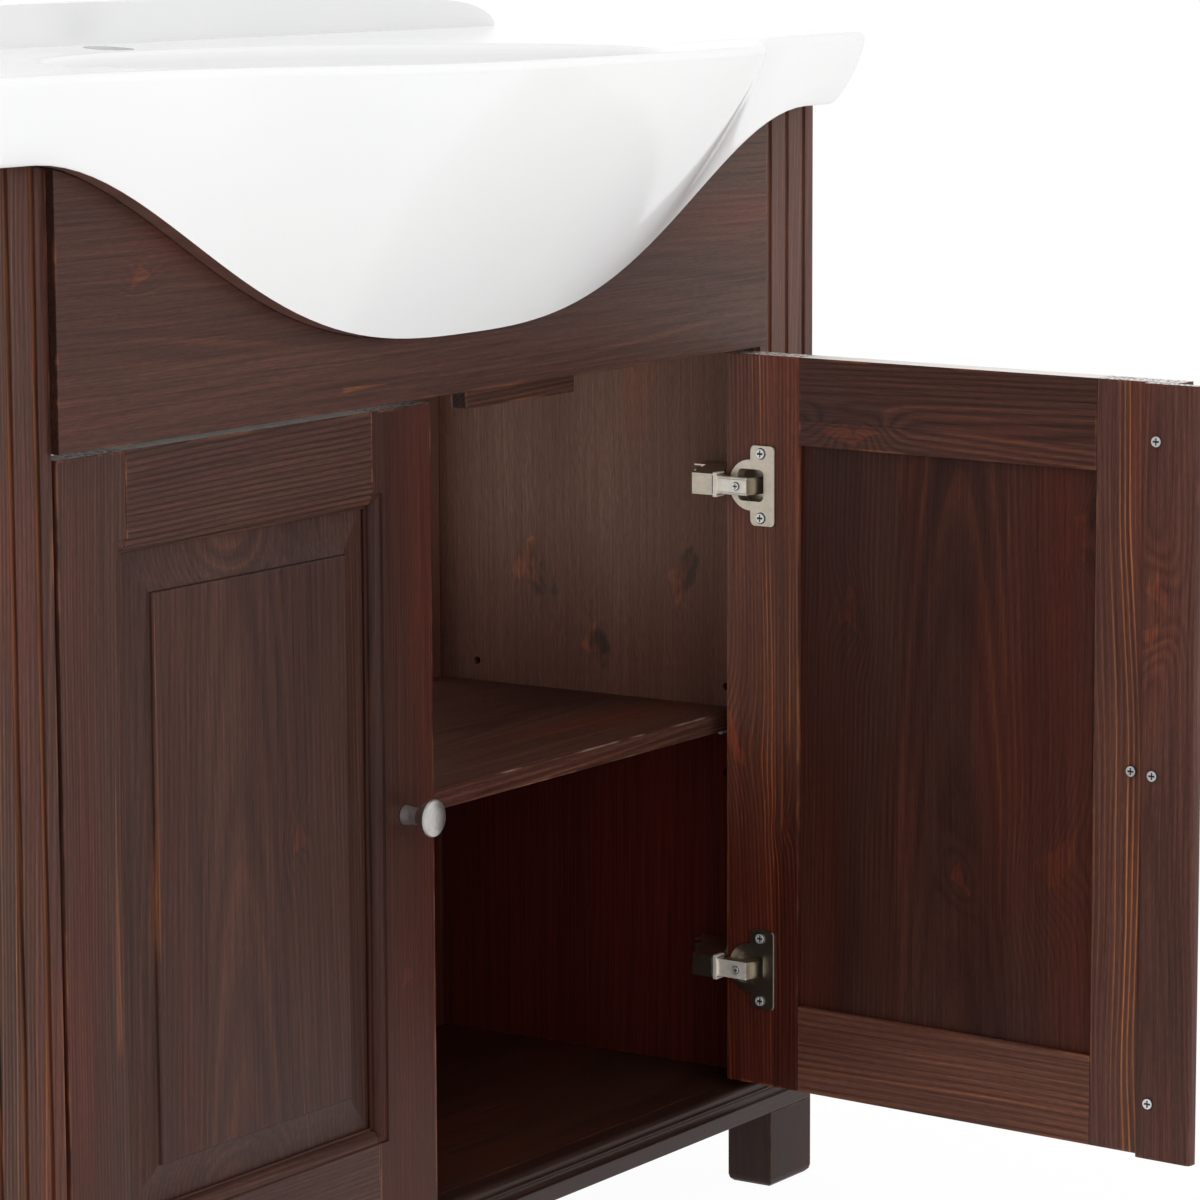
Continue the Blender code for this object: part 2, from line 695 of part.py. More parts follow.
class Door:
    """Places of one door, in the frame of its hinge axis."""

    def __init__(self, name, side, root):
        self.name = name
        self.side = side
        self.pivot = add_empty(name + "_door_axis", (side * (HALF_OPENING - AXIS_U), AXIS_V, 0.0), root)

    def at(self, u, v, z):
        """Point at u and v, measured from the hinge axis."""
        return (self.side * (AXIS_U - u), v - AXIS_V, z)

    def block(self, low, high):
        """Block between two (u, v, z) corners."""
        return box(self.at(*low), self.at(*high))

    def rectangles(self, levels):
        """Loft through rectangles given as (inset from the opening, v)."""
        low_u = HINGE_GAP + FRAME_W
        high_u = HINGE_GAP + DOOR_W - FRAME_W
        rows = []
        for inset, v in levels:
            start = self.at(low_u + inset, v, DOOR_BOTTOM_Z + FRAME_W + inset)
            end = self.at(high_u - inset, v, DOOR_TOP_Z - FRAME_W - inset)
            rows.append((start[0], end[0], start[2], end[2], start[1]))
        return stacked_rectangles(rows)


def mould_levels():
    """Levels of the tray that shapes the frame's inner edge: quirk, ovolo and fillet."""
    levels = [(-MOULD_W, -SEAT_GAP * 10), (-MOULD_W, MOULD_QUIRK)]
    round_w = MOULD_W - 2 * MOULD_QUIRK
    round_h = MOULD_DEPTH - MOULD_QUIRK
    for i in range(6):
        angle = math.pi / 2 * i / 5
        levels.append((-MOULD_W + MOULD_QUIRK + round_w * math.sin(angle),
                       MOULD_QUIRK + round_h * (1 - math.cos(angle))))
    return levels + [(MOULD_QUIRK, MOULD_DEPTH)]


def build_door_frame(door):
    """Two stiles, two rails and the raised panel that floats in their groove."""
    near_u = HINGE_GAP
    far_u = HINGE_GAP + DOOR_W
    low_z = DOOR_BOTTOM_Z
    high_z = DOOR_TOP_Z
    rail_u = near_u + FRAME_W + SEAT_GAP
    rail_end_u = far_u - FRAME_W - SEAT_GAP
    name = door.name
    blocks = {
        "hinge_stile": ((near_u, 0.0, low_z), (near_u + FRAME_W, DOOR_T, high_z)),
        "free_stile": ((far_u - FRAME_W, 0.0, low_z), (far_u, DOOR_T, high_z)),
        "top_rail": ((rail_u, 0.0, high_z - FRAME_W), (rail_end_u, DOOR_T, high_z)),
        "bottom_rail": ((rail_u, 0.0, low_z), (rail_end_u, DOOR_T, low_z + FRAME_W)),
    }
    mould = add_cutter(name + "_door_mould", door.rectangles(mould_levels()), door.pivot)
    groove_back = GROOVE_FRONT_V + GROOVE_W
    groove = add_cutter(name + "_door_groove", door.rectangles([(-GROOVE_DEPTH, GROOVE_FRONT_V),
                                                                (-GROOVE_DEPTH, groove_back)]), door.pivot)
    frame = {}
    for piece, (low, high) in blocks.items():
        frame[piece] = add_part(f"{name}_door_{piece}", door.block(low, high), PINE, door.pivot)
        combine(frame[piece], mould)
        combine(frame[piece], groove)

    tongue_front = GROOVE_FRONT_V + SEAT_GAP
    tongue_back = groove_back - SEAT_GAP
    bevel_end = PANEL_GAP + PANEL_BEVEL_W
    bevel_v = tongue_front - PANEL_BEVEL_RISE
    panel = door.rectangles([(-TONGUE_L, tongue_back), (-TONGUE_L, tongue_front), (PANEL_GAP, tongue_front),
                             (bevel_end, bevel_v), (bevel_end + PANEL_SHOULDER / 4, bevel_v - PANEL_SHOULDER)])
    add_part(name + "_door_panel", panel, PINE, door.pivot)
    return frame


def knob_profile():
    """Mushroom knob: flat-domed cap, waisted stem and a bore for its screw."""
    cap_r = KNOB_D / 2
    stem_r = KNOB_STEM_D / 2
    waist_r = stem_r * 0.85
    edge_z = KNOB_L - KNOB_CAP_T * 0.45
    bore_r = SCREW_D / 2 + SCREW_CLEARANCE
    profile = [(0.0, KNOB_L)]
    for i in range(1, 6):
        angle = math.pi / 2 * i / 5
        profile.append((cap_r * math.sin(angle), edge_z + (KNOB_L - edge_z) * math.cos(angle)))
    under_z = KNOB_L - KNOB_CAP_T
    profile += [(cap_r * 0.97, edge_z - 0.0018), (cap_r * 0.80, under_z), (waist_r * 1.25, under_z - 0.0025)]
    profile += [(waist_r, KNOB_L * 0.42), (waist_r * 1.04, KNOB_L * 0.22), (stem_r, 0.0), (bore_r, 0.0)]
    return profile + [(bore_r, KNOB_BORE_DEPTH), (0.0, KNOB_BORE_DEPTH)]


def screw_profile(length, head_t):
    """Pan-head screw that points down, with its head's seat at z = 0."""
    head_r = SCREW_HEAD_D / 2
    return [(0.0, head_t), (head_r * 0.55, head_t * 0.93), (head_r * 0.9, head_t * 0.5), (head_r, 0.0),
            (SCREW_D / 2, 0.0), (SCREW_D / 2, -length), (0.0, -length)]


def build_knob(door, stile):
    """Knob near the free edge and the screw that holds it through the stile."""
    u = HINGE_GAP + DOOR_W - KNOB_FROM_EDGE
    z = (DOOR_BOTTOM_Z + DOOR_TOP_Z) / 2
    hole = bar(SCREW_D / 2 + SCREW_CLEARANCE, door.at(u, -DOOR_T, z), door.at(u, 2 * DOOR_T, z), SCREW_STEPS)
    combine(stile, add_cutter(door.name + "_knob_hole", hole, door.pivot))
    knob = add_part(door.name + "_knob", turned_profile(knob_profile()), NICKEL, door.pivot)
    knob.location = door.at(u, -SEAT_GAP, z)
    knob.rotation_euler.x = math.pi / 2
    turn(knob)
    screw_l = DOOR_T + KNOB_BORE_DEPTH * 0.7
    screw = add_part(door.name + "_knob_screw", turned_profile(screw_profile(screw_l, SCREW_HEAD_T)), ZINC,
                     door.pivot)
    screw.location = door.at(u, DOOR_T + SEAT_GAP, z)
    screw.rotation_euler.x = -math.pi / 2
    turn(screw, SCREW_STEPS)


def build_strip(door, stile):
    """Strip on the inner face of the right door, which closes the gap between the doors."""
    free_u = HINGE_GAP + DOOR_W
    face_v = DOOR_T + SEAT_GAP
    low = door.at(free_u + STRIP_OVERHANG - STRIP_W, face_v, DOOR_BOTTOM_Z)
    high = door.at(free_u + STRIP_OVERHANG, face_v + STRIP_T, DOOR_TOP_Z)
    outline = [(low[0], low[1]), (high[0], low[1])]
    outline += arc((high[0] + STRIP_ROUND, high[1] - STRIP_ROUND), STRIP_ROUND, 180, 90, 3)
    outline += arc((low[0] - STRIP_ROUND, high[1] - STRIP_ROUND), STRIP_ROUND, 90, 0, 3)
    strip = add_part("right_door_stop_strip", extruded(outline, "XY", low[2], high[2]), PINE, door.pivot)

    holes = bmesh.new()
    screw_u = free_u - (STRIP_W - STRIP_OVERHANG) / 2
    middle = (DOOR_BOTTOM_Z + DOOR_TOP_Z) / 2
    heights = {"lower": DOOR_BOTTOM_Z + STRIP_SCREW_FROM_END, "middle": middle,
               "upper": DOOR_TOP_Z - STRIP_SCREW_FROM_END}
    head_v = face_v + STRIP_T + SEAT_GAP
    for place, z in heights.items():
        add_bar(holes, SCREW_D / 2 + SCREW_CLEARANCE, door.at(screw_u, head_v + DOOR_T, z),
                door.at(screw_u, head_v - STRIP_SCREW_L - SEAT_GAP, z), SCREW_STEPS)
        screw = add_part(f"strip_screw_{place}", turned_profile(screw_profile(STRIP_SCREW_L, SCREW_HEAD_T / 2)),
                         ZINC, door.pivot)
        screw.location = door.at(screw_u, head_v, z)
        screw.rotation_euler.x = -math.pi / 2
        turn(screw, SCREW_STEPS)
    cutter = add_cutter("strip_screw_holes", to_mesh(holes), door.pivot)
    combine(strip, cutter)
    combine(stile, cutter)


def hinge_heights():
    """Heights of a door's two hinges."""
    return {"upper": DOOR_TOP_Z - HINGE_FROM_TOP, "lower": DOOR_BOTTOM_Z + HINGE_FROM_BOTTOM}


def cup_profile():
    """Hinge cup with its round rim, from the hollow's floor over the rim to the underside."""
    rim_r = CUP_R + FLANGE_RIM
    inner_r = CUP_R - CUP_WALL
    seat = SEAT_GAP
    bottom = -CUP_DEPTH
    return [(0.0, bottom + CUP_FLOOR_T), (inner_r, bottom + CUP_FLOOR_T), (inner_r, FLANGE_T), (rim_r, FLANGE_T),
            (rim_r, seat), (CUP_R, seat), (CUP_R, bottom), (0.0, bottom)]


def flange_outline(door, z):
    """Plate of the cup's flange, in the door's frame."""
    half_w = FLANGE_W / 2
    half_h = FLANGE_H / 2
    middle = door.at(CUP_U + FLANGE_OFFSET, 0.0, z)
    points = []
    for sign_x, sign_z, start in ((1, 1, 0), (-1, 1, 90), (-1, -1, 180), (1, -1, 270)):
        centre = (middle[0] + sign_x * (half_w - FLANGE_ROUND), z + sign_z * (half_h - FLANGE_ROUND))
        points += arc(centre, FLANGE_ROUND, start, start + 90, 3)
    return points


def build_hinge_cup(door, stile, place, z):
    """Cup sunk in the stile, with its flange on the door's inner face."""
    hole_r = CUP_R + CUP_HOLE_GAP
    hole = bar(hole_r, door.at(CUP_U, DOOR_T - CUP_DEPTH - CUP_HOLE_GAP, z), door.at(CUP_U, 2 * DOOR_T, z))
    name = f"{door.name}_{place}_hinge"
    combine(stile, add_cutter(name + "_cup_hole", hole, door.pivot))
    cup = add_part(name + "_cup", turned_profile(cup_profile()), NICKEL, door.pivot)
    cup.location = door.at(CUP_U, DOOR_T, z)
    cup.rotation_euler.x = -math.pi / 2
    turn(cup)
    face = DOOR_T - AXIS_V
    plate = extruded(flange_outline(door, z), "XZ", face + 1.2 * SEAT_GAP, face + FLANGE_T - 0.2 * SEAT_GAP)
    combine(cup, add_cutter(name + "_flange", plate, door.pivot), "UNION")
    inner_r = CUP_R - CUP_WALL
    hollow = bar(inner_r, door.at(CUP_U, CUP_FLOOR_V + CUP_WALL, z), door.at(CUP_U, 2 * DOOR_T, z))
    combine(cup, add_cutter(name + "_hollow", hollow, door.pivot))


def arm_outline(side):
    """Plan of a hinge arm: a tip in the cup, a hollow around the axis and a crank to the lining."""
    stile_sweep = math.hypot(AXIS_U - HINGE_GAP, DOOR_T - AXIS_V)
    rim_sweep = math.hypot(AXIS_U - CUP_U + CUP_R + FLANGE_RIM, DOOR_T + FLANGE_T - AXIS_V)
    hug_r = max(stile_sweep, rim_sweep) + ARM_CLEARANCE
    tip_v = CUP_FLOOR_V + ARM_CLEARANCE
    start = math.degrees(math.asin((tip_v - AXIS_V) / hug_r))
    outer_u = CUP_U + ARM_REACH
    base_u = LINING_U + PLATE_T + 2 * SEAT_GAP
    points = [(outer_u, tip_v)] + arc((AXIS_U, AXIS_V), hug_r, start, ARM_HUG_END, 8)
    points += [(base_u, ARM_CRANK_V), (base_u, ARM_BASE_V), (base_u + ARM_BASE_W, ARM_BASE_V),
               (base_u + ARM_BASE_W, ARM_NECK_V), (outer_u, ARM_SHOULDER_V)]
    return [(side * (HALF_OPENING - u), v) for u, v in points]


def build_hinge_fixings(name, side, place, z, root):
    """Mounting plate on the side lining and the arm that it carries."""
    plate_x = LINING_X - SEAT_GAP
    plate = add_part(f"{name}_{place}_hinge_plate",
                     box((side * plate_x, PLATE_FRONT_V, z - PLATE_H / 2),
                         (side * (plate_x - PLATE_T), PLATE_BACK_V, z + PLATE_H / 2)), NICKEL, root)
    round_edges(plate, PLATE_T / 4, 1)
    arm = add_part(f"{name}_{place}_hinge_arm", extruded(arm_outline(side), "XY", z - ARM_H / 2, z + ARM_H / 2),
                   NICKEL, root)
    round_edges(arm, ARM_EDGE, 1)


def build_door(name, side, root):
    """One door with its knob and hinges."""
    door = Door(name, side, root)
    frame = build_door_frame(door)
    build_knob(door, frame["free_stile"])
    if name == "right":
        build_strip(door, frame["free_stile"])
        door.pivot.rotation_euler.z = OPEN_ANGLE
    for place, z in hinge_heights().items():
        build_hinge_cup(door, frame["hinge_stile"], place, z)
        build_hinge_fixings(name, side, place, z, root)


def footprint_shift():
    """Shift along Y that puts the origin under the middle of the whole unit."""
    reach = HINGE_GAP + DOOR_W + STRIP_OVERHANG - AXIS_U
    back = DOOR_T + SEAT_GAP - AXIS_V
    front_v = AXIS_V - reach * math.sin(OPEN_ANGLE) + back * math.cos(OPEN_ANGLE)
    return -(front_v + CABINET_DEPTH) / 2


def main():
    clear_scene()
    root = add_empty("vanity_unit_root", (0.0, footprint_shift(), 0.0))
    build_cabinet(root)
    build_basin(root)
    for name, side in (("left", -1), ("right", 1)):
        build_door(name, side, root)


main()
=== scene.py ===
"""Vanity unit in stained pine: finishes, small fittings, studio and camera."""

import json
import math

import bmesh
import bpy
from mathutils import Matrix, Quaternion, Vector
from mathutils.geometry import tessellate_polygon


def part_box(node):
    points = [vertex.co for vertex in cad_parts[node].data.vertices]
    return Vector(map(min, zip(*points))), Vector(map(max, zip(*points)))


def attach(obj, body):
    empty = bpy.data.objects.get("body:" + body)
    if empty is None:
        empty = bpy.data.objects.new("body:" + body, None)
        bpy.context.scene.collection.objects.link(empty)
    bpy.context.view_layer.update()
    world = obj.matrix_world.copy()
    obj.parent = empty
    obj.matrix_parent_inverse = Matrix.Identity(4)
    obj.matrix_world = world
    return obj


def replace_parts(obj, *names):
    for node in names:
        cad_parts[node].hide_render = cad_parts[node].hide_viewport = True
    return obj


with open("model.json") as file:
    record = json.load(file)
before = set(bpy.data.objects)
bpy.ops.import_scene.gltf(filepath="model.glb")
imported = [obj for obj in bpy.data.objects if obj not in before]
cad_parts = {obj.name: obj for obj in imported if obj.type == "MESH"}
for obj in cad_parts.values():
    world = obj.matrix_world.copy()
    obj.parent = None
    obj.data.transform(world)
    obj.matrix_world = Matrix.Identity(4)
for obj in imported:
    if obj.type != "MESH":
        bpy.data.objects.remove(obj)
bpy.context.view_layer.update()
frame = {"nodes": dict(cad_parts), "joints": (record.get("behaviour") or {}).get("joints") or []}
NODES = frame["nodes"]
HINGES = {joint["child"]: joint for joint in frame["joints"]}
AXIS_U = 0.010
AXIS_V = 0.0075
FRONT_Y = HINGES["left_door"]["pos_m"][1] - AXIS_V
OPEN_ANGLE = math.radians(86)
RIGHT_AXIS = Vector((HINGES["right_door"]["pos_m"][0], HINGES["right_door"]["pos_m"][1], 0.0))
SHUT = (Matrix.Translation(RIGHT_AXIS) @ Matrix.Rotation(-OPEN_ANGLE, 4, "Z")
        @ Matrix.Translation(-RIGHT_AXIS))


def srgb(red, green, blue):
    """Linear colour of an 8-bit display colour."""
    values = []
    for value in (red, green, blue):
        share = value / 255
        values.append(share / 12.92 if share <= 0.04045 else ((share + 0.055) / 1.055) ** 2.4)
    return (*values, 1.0)


# Node trees


class Tree:
    """Node tree of one material, with short calls for the nodes used here."""

    def __init__(self, name):
        self.material = bpy.data.materials.new(name)
        self.material.use_nodes = True
        self.nodes = self.material.node_tree.nodes
        self.links = self.material.node_tree.links
        self.shader = self.nodes["Principled BSDF"]

    def feed(self, socket, value):
        """Link a socket to another, or set its value."""
        if isinstance(value, bpy.types.NodeSocket):
            self.links.new(value, socket)
        else:
            socket.default_value = value

    def node(self, kind, settings=None, **inputs):
        """Add a node; inputs are given by name, with _ for a space."""
        node = self.nodes.new("ShaderNode" + kind)
        for key, value in (settings or {}).items():
            setattr(node, key, value)
        for key, value in inputs.items():
            self.feed(node.inputs[key.replace("_", " ")], value)
        return node

    def math(self, operation, *values):
        """Result of a maths node."""
        node = self.node("Math", {"operation": operation})
        for socket, value in zip(node.inputs, values):
            self.feed(socket, value)
        return node.outputs[0]

    def ease(self, value, low, high):
        """0 below low and 1 above high, with a soft step between; low may be the larger one."""
        node = self.node("MapRange", {"interpolation_type": "SMOOTHSTEP"}, Value=value)
        self.feed(node.inputs["From Min"], min(low, high))
        self.feed(node.inputs["From Max"], max(low, high))
        self.feed(node.inputs["To Min"], 0.0 if low < high else 1.0)
        self.feed(node.inputs["To Max"], 1.0 if low < high else 0.0)
        return node.outputs[0]

    def vector(self, x, y, z):
        """Vector of three values."""
        return self.node("CombineXYZ", None, X=x, Y=y, Z=z).outputs[0]

    def scaled(self, parts, scales, seed):
        """Vector of parts, each times its scale, moved by a seed."""
        values = [self.math("MULTIPLY_ADD", part, scale, seed) for part, scale in zip(parts, scales)]
        return self.vector(*values)

    def noise(self, vector, detail=2.0, roughness=0.5, scale=1.0):
        """Noise value from 0 to 1."""
        node = self.node("TexNoise", None, Vector=vector, Scale=scale, Detail=detail, Roughness=roughness)
        return node.outputs[0]

    def chance(self, value):
        """Random value from 0 to 1 for each whole value."""
        return self.node("TexWhiteNoise", {"noise_dimensions": "1D"}, W=value).outputs[0]

    def blend(self, share, first, second, way="MIX"):
        """Mix of two colours."""
        node = self.node("Mix", {"data_type": "RGBA", "blend_type": way})
        self.feed(node.inputs[0], share)
        self.feed(node.inputs[6], first)
        self.feed(node.inputs[7], second)
        return node.outputs[2]

    def dim(self, colour, value):
        """Colour times one value."""
        return self.blend(1.0, colour, self.vector(value, value, value), "MULTIPLY")

    def bump(self, strength, distance, height, bevel=None):
        """Normal with bumps, over edges rounded by a bevel."""
        inputs = dict(Strength=strength, Distance=distance, Height=height)
        if bevel:
            inputs["Normal"] = self.node("Bevel", {"samples": 4}, Radius=bevel).outputs[0]
        return self.node("Bump", None, **inputs).outputs[0]

    def set(self, **inputs):
        """Set or link the shader's own sockets."""
        for key, value in inputs.items():
            self.feed(self.shader.inputs[key.replace("_", " ")], value)


def give(node, material):
    """Give a CAD node one material."""
    slots = NODES[node].material_slots
    for slot in slots:
        slot.material = material
    if not slots:
        NODES[node].data.materials.append(material)


# Pine

STAIN = 0.89
DARK_YEAR = srgb(38, 21, 18)
# painted shade: darker red-brown for the boards below the shelf
BELOW_SHADE_COLOUR = srgb(84, 32, 25)
# painted sheen: pale colour for the tops of the door boards, standing in for light catching them
PAINTED_SHEEN = srgb(242, 236, 230)
DEEP = srgb(54, 31, 27)
BROWN = srgb(84, 55, 46)
RED = srgb(98, 48, 35)
LATEWOOD = srgb(158, 94, 48)
WORN = srgb(146, 90, 56)
KNOT_WOOD = srgb(124, 62, 38)
KNOT_CORE = srgb(38, 30, 28)

# Noise scales per metre: along the grain, across it and in depth
WAVE = (2.0, 8.0, 8.0)
RIPPLE = (14.0, 70.0, 70.0)
LUMP = (55.0, 80.0, 80.0)
PATCH = (3.0, 16.0, 16.0)
FIBRE = (7.0, 620.0, 620.0)
PORES = (120.0, 1500.0, 1500.0)
CLOUD = (2.2, 16.0, 16.0)
REDNESS = (1.8, 11.0, 11.0)
SAW = (40.0, 420.0, 420.0)
RUBBING = (18.0, 60.0, 60.0)

# Detail and roughness of some of those noises
FIBRE_NOISE = (3.0, 0.62)
PORE_NOISE = (1.0, 0.5)
CLOUD_NOISE = (3.0, 0.55)
RUBBING_NOISE = (3.0, 0.6)

# Steps that move the noises and rings from board to board, plank to plank and knot to knot
SEED_STEP = 3.17
PLANK_STEP = 5.7
PLANK_PITH = 0.031
KNOT_STEP = 7.3
PATCH_SEED, PATCH_START = 1.7, 4
RED_SEED, RED_START = 2.3, 9
SHADE_SEED = 0.37

# Ranges of soft steps, and (factor, offset) pairs
LATE_RISE = (0.6, 0.85)
LATE_FALL = (1.0, 0.92)
LUCK_POWER = 2.6
LUCK_MIX = (0.88, 0.12)
PATCH_RANGE = (0.38, 0.64)
PATCH_MIX = (0.9, 0.1)
CLOUD_RANGE = (0.25, 0.75)
CLOUD_MIDDLE = 0.55
RED_RANGE = (0.66, 0.96)
RED_BY_WARMTH = 0.4
RED_MOST = 0.75
DARK_RISE = (0.0, 0.3)
DARK_FALL = (0.6, 0.3)
BAND_MIX = (0.9, -0.12)
GLOW_MIX = (0.8, -0.12)
PORE_MIX = (0.8, 0.6)
PLANK_MIX = (0.26, 0.87)
BELOW_SHADE_EDGE = 0.004
BELOW_SHADE_FIBRE = 2.0
BELOW_SHADE_MIX = (0.8, 0.6)
RIPPLE_REACH = 0.0012

# Knots, in sizes of the knot
KNOT_SHORT = 0.7
KNOT_LEANS = (-0.4, 0.5)
SWELL_BASE = 2.718
SWELL_FALL = -0.3
SWELL_MOST = 0.9
WEDGE_TAIL = 0.8
WEDGE_SIDE = 1.3
WEDGE_RAGGED = 1.8
GLOW_RANGE = (1.0, 0.7)
HEART_RAGGED = 3.4
HEART_OFF = (0.3, 0.9)
HEART_RANGE = (1.1, -0.2)
FLAME_RANGE = (1.0, 0.3)
FLAME_START = (0.0, 0.12)
LEAST_ROOM = 0.00001

# Ends, edges and surface
FACING = (0.8, 0.95)
END_MIX = (0.6, 0.16)
HATCH_RANGE = (0.40, 0.50)
HATCH_MOST = 0.9
SHEEN_MOST = 0.95
SHEEN_DEPTH = (0.002, 0.001)
RUBBING_RANGE = (0.45, 0.7)
EDGE_REACH = (0.0022, 0.0003)
FLUTE_IN = (0.0012, 0.0036)
FLUTE_OUT = (0.0062, 0.0052)
FLUTE_FIBRE = (0.35, 0.6)
FLUTE_MIX = (0.6, 0.4)
FRONT_RANGE = (0.3, -0.3)
RIM_REACH = (0.004, 0.0005)
RIM_WORN = (0.0, 0.2)
RIM_MOST = 0.5
ROUGH_MIX = (0.16, 0.36)
LINE_HEIGHT = 0.4
FIBRE_HEIGHT = 0.6
SAW_HEIGHT = 2.5
GRAIN_BUMP = (0.3, 0.0004)
BOARD_BEVEL = 0.0014


def shut_box(node, turned):
    """Lowest and highest corners of a node, with its door shut."""
    points = [SHUT @ vert.co if turned else vert.co for vert in NODES[node].data.vertices]
    low = Vector([min(point[axis] for point in points) for axis in range(3)])
    high = Vector([max(point[axis] for point in points) for axis in range(3)])
    return low, high


def board_space(tree, turned):
    """Place and normal on a board, in metres, with its door shut."""
    coords = tree.node("TexCoord")
    place, normal = coords.outputs["Object"], coords.outputs["Normal"]
    if turned:
        way, angle = {"rotation_type": "Z_AXIS"}, -OPEN_ANGLE
        place = tree.node("VectorRotate", way, Vector=place, Center=RIGHT_AXIS, Angle=angle).outputs[0]
        normal = tree.node("VectorRotate", way, Vector=normal, Angle=angle).outputs[0]
    return [tree.node("SeparateXYZ", None, Vector=value).outputs for value in (place, normal)]


def edge_distance(tree, place, low, high):
    """Distance from a board's nearest edge, for a point on one of its faces."""
    gaps = []
    for axis in range(3):
        near = tree.math("SUBTRACT", place[axis], low[axis])
        far = tree.math("SUBTRACT", high[axis], place[axis])
        gaps.append(tree.math("ABSOLUTE", tree.math("MINIMUM", near, far)))
    small = tree.math("MINIMUM", gaps[0], gaps[1])
    large = tree.math("MAXIMUM", gaps[0], gaps[1])
    return tree.math("MINIMUM", large, tree.math("MAXIMUM", small, gaps[2]))


def largest(tree, values):
    """Largest of some values."""
    top = values[0]
    for value in values[1:]:
        top = tree.math("MAXIMUM", top, value)
    return top


def planks(tree, across, seams, shades):
    """Number of the plank at a point, and its tone where shades are given."""
    plank = shade = None
    for number, seam in enumerate(seams):
        above = tree.math("GREATER_THAN", across, seam)
        plank = above if plank is None else tree.math("ADD", plank, above)
        if shades:
            step = shades[number + 1] - shades[number]
            shade = tree.math("MULTIPLY_ADD", above, step, shades[0] if shade is None else shade)
    return plank, shade


def knot(tree, spot, bent, number, seed, run_at, side_at, size, core):
    """Swelling of the rings, wedge-shaped glow and round heart (None without a core) of one knot."""
    odd = number % 2
    lump = tree.noise(tree.scaled(spot, LUMP, seed + KNOT_STEP * number))
    lump = tree.math("SUBTRACT", lump, 0.5)
    run = tree.math("MULTIPLY", tree.math("SUBTRACT", spot[0], run_at), KNOT_SHORT / size)
    side = tree.math("MULTIPLY", tree.math("SUBTRACT", bent, side_at), 1 / size)
    run = tree.math("MULTIPLY_ADD", side, KNOT_LEANS[odd], run)
    run = tree.math("MULTIPLY", run, -1.0 if odd else 1.0)
    squared = tree.math("ADD", tree.math("MULTIPLY", run, run), tree.math("MULTIPLY", side, side))
    swell = tree.math("POWER", SWELL_BASE, tree.math("MULTIPLY", squared, SWELL_FALL))
    flank = tree.math("MULTIPLY", tree.math("ABSOLUTE", side), WEDGE_SIDE)
    slant = tree.math("MULTIPLY_ADD", run, WEDGE_TAIL, flank)
    wedge = tree.math("MAXIMUM", slant, tree.math("MULTIPLY", run, -WEDGE_SIDE))
    glow = tree.ease(tree.math("MULTIPLY_ADD", lump, WEDGE_RAGGED, wedge), *GLOW_RANGE)
    heart = None
    if core:
        blot = tree.math("MULTIPLY_ADD", lump, HEART_RAGGED, squared)
        off = tree.math("MULTIPLY_ADD", side, HEART_OFF[1], blot)
        off = tree.math("MULTIPLY_ADD", run, HEART_OFF[0], off)
        heart = tree.math("MULTIPLY", tree.ease(off, *HEART_RANGE), core)
    return swell, glow, heart


def flame(tree, along, bent, start, end, side_at, width):
    """Streak of latewood that tapers from its start to its end."""
    off = tree.math("ABSOLUTE", tree.math("SUBTRACT", bent, side_at))
    share = tree.math("MULTIPLY_ADD", along, 1 / (end - start), -start / (end - start))
    room = tree.math("MAXIMUM", tree.math("MULTIPLY_ADD", share, -width, width), LEAST_ROOM)
    body = tree.ease(tree.math("DIVIDE", off, room), *FLAME_RANGE)
    return tree.math("MULTIPLY", body, tree.ease(share, *FLAME_START))


def rim_distance(tree, place, field):
    """Distance from the rim of a panel's raised field."""
    left, right, bottom, top = field
    overs = []
    for axis, near, far in ((0, left, right), (2, bottom, top)):
        off = tree.math("ABSOLUTE", tree.math("SUBTRACT", place[axis], (near + far) / 2))
        overs.append(tree.math("SUBTRACT", off, (far - near) / 2))
    return tree.math("ABSOLUTE", largest(tree, overs))


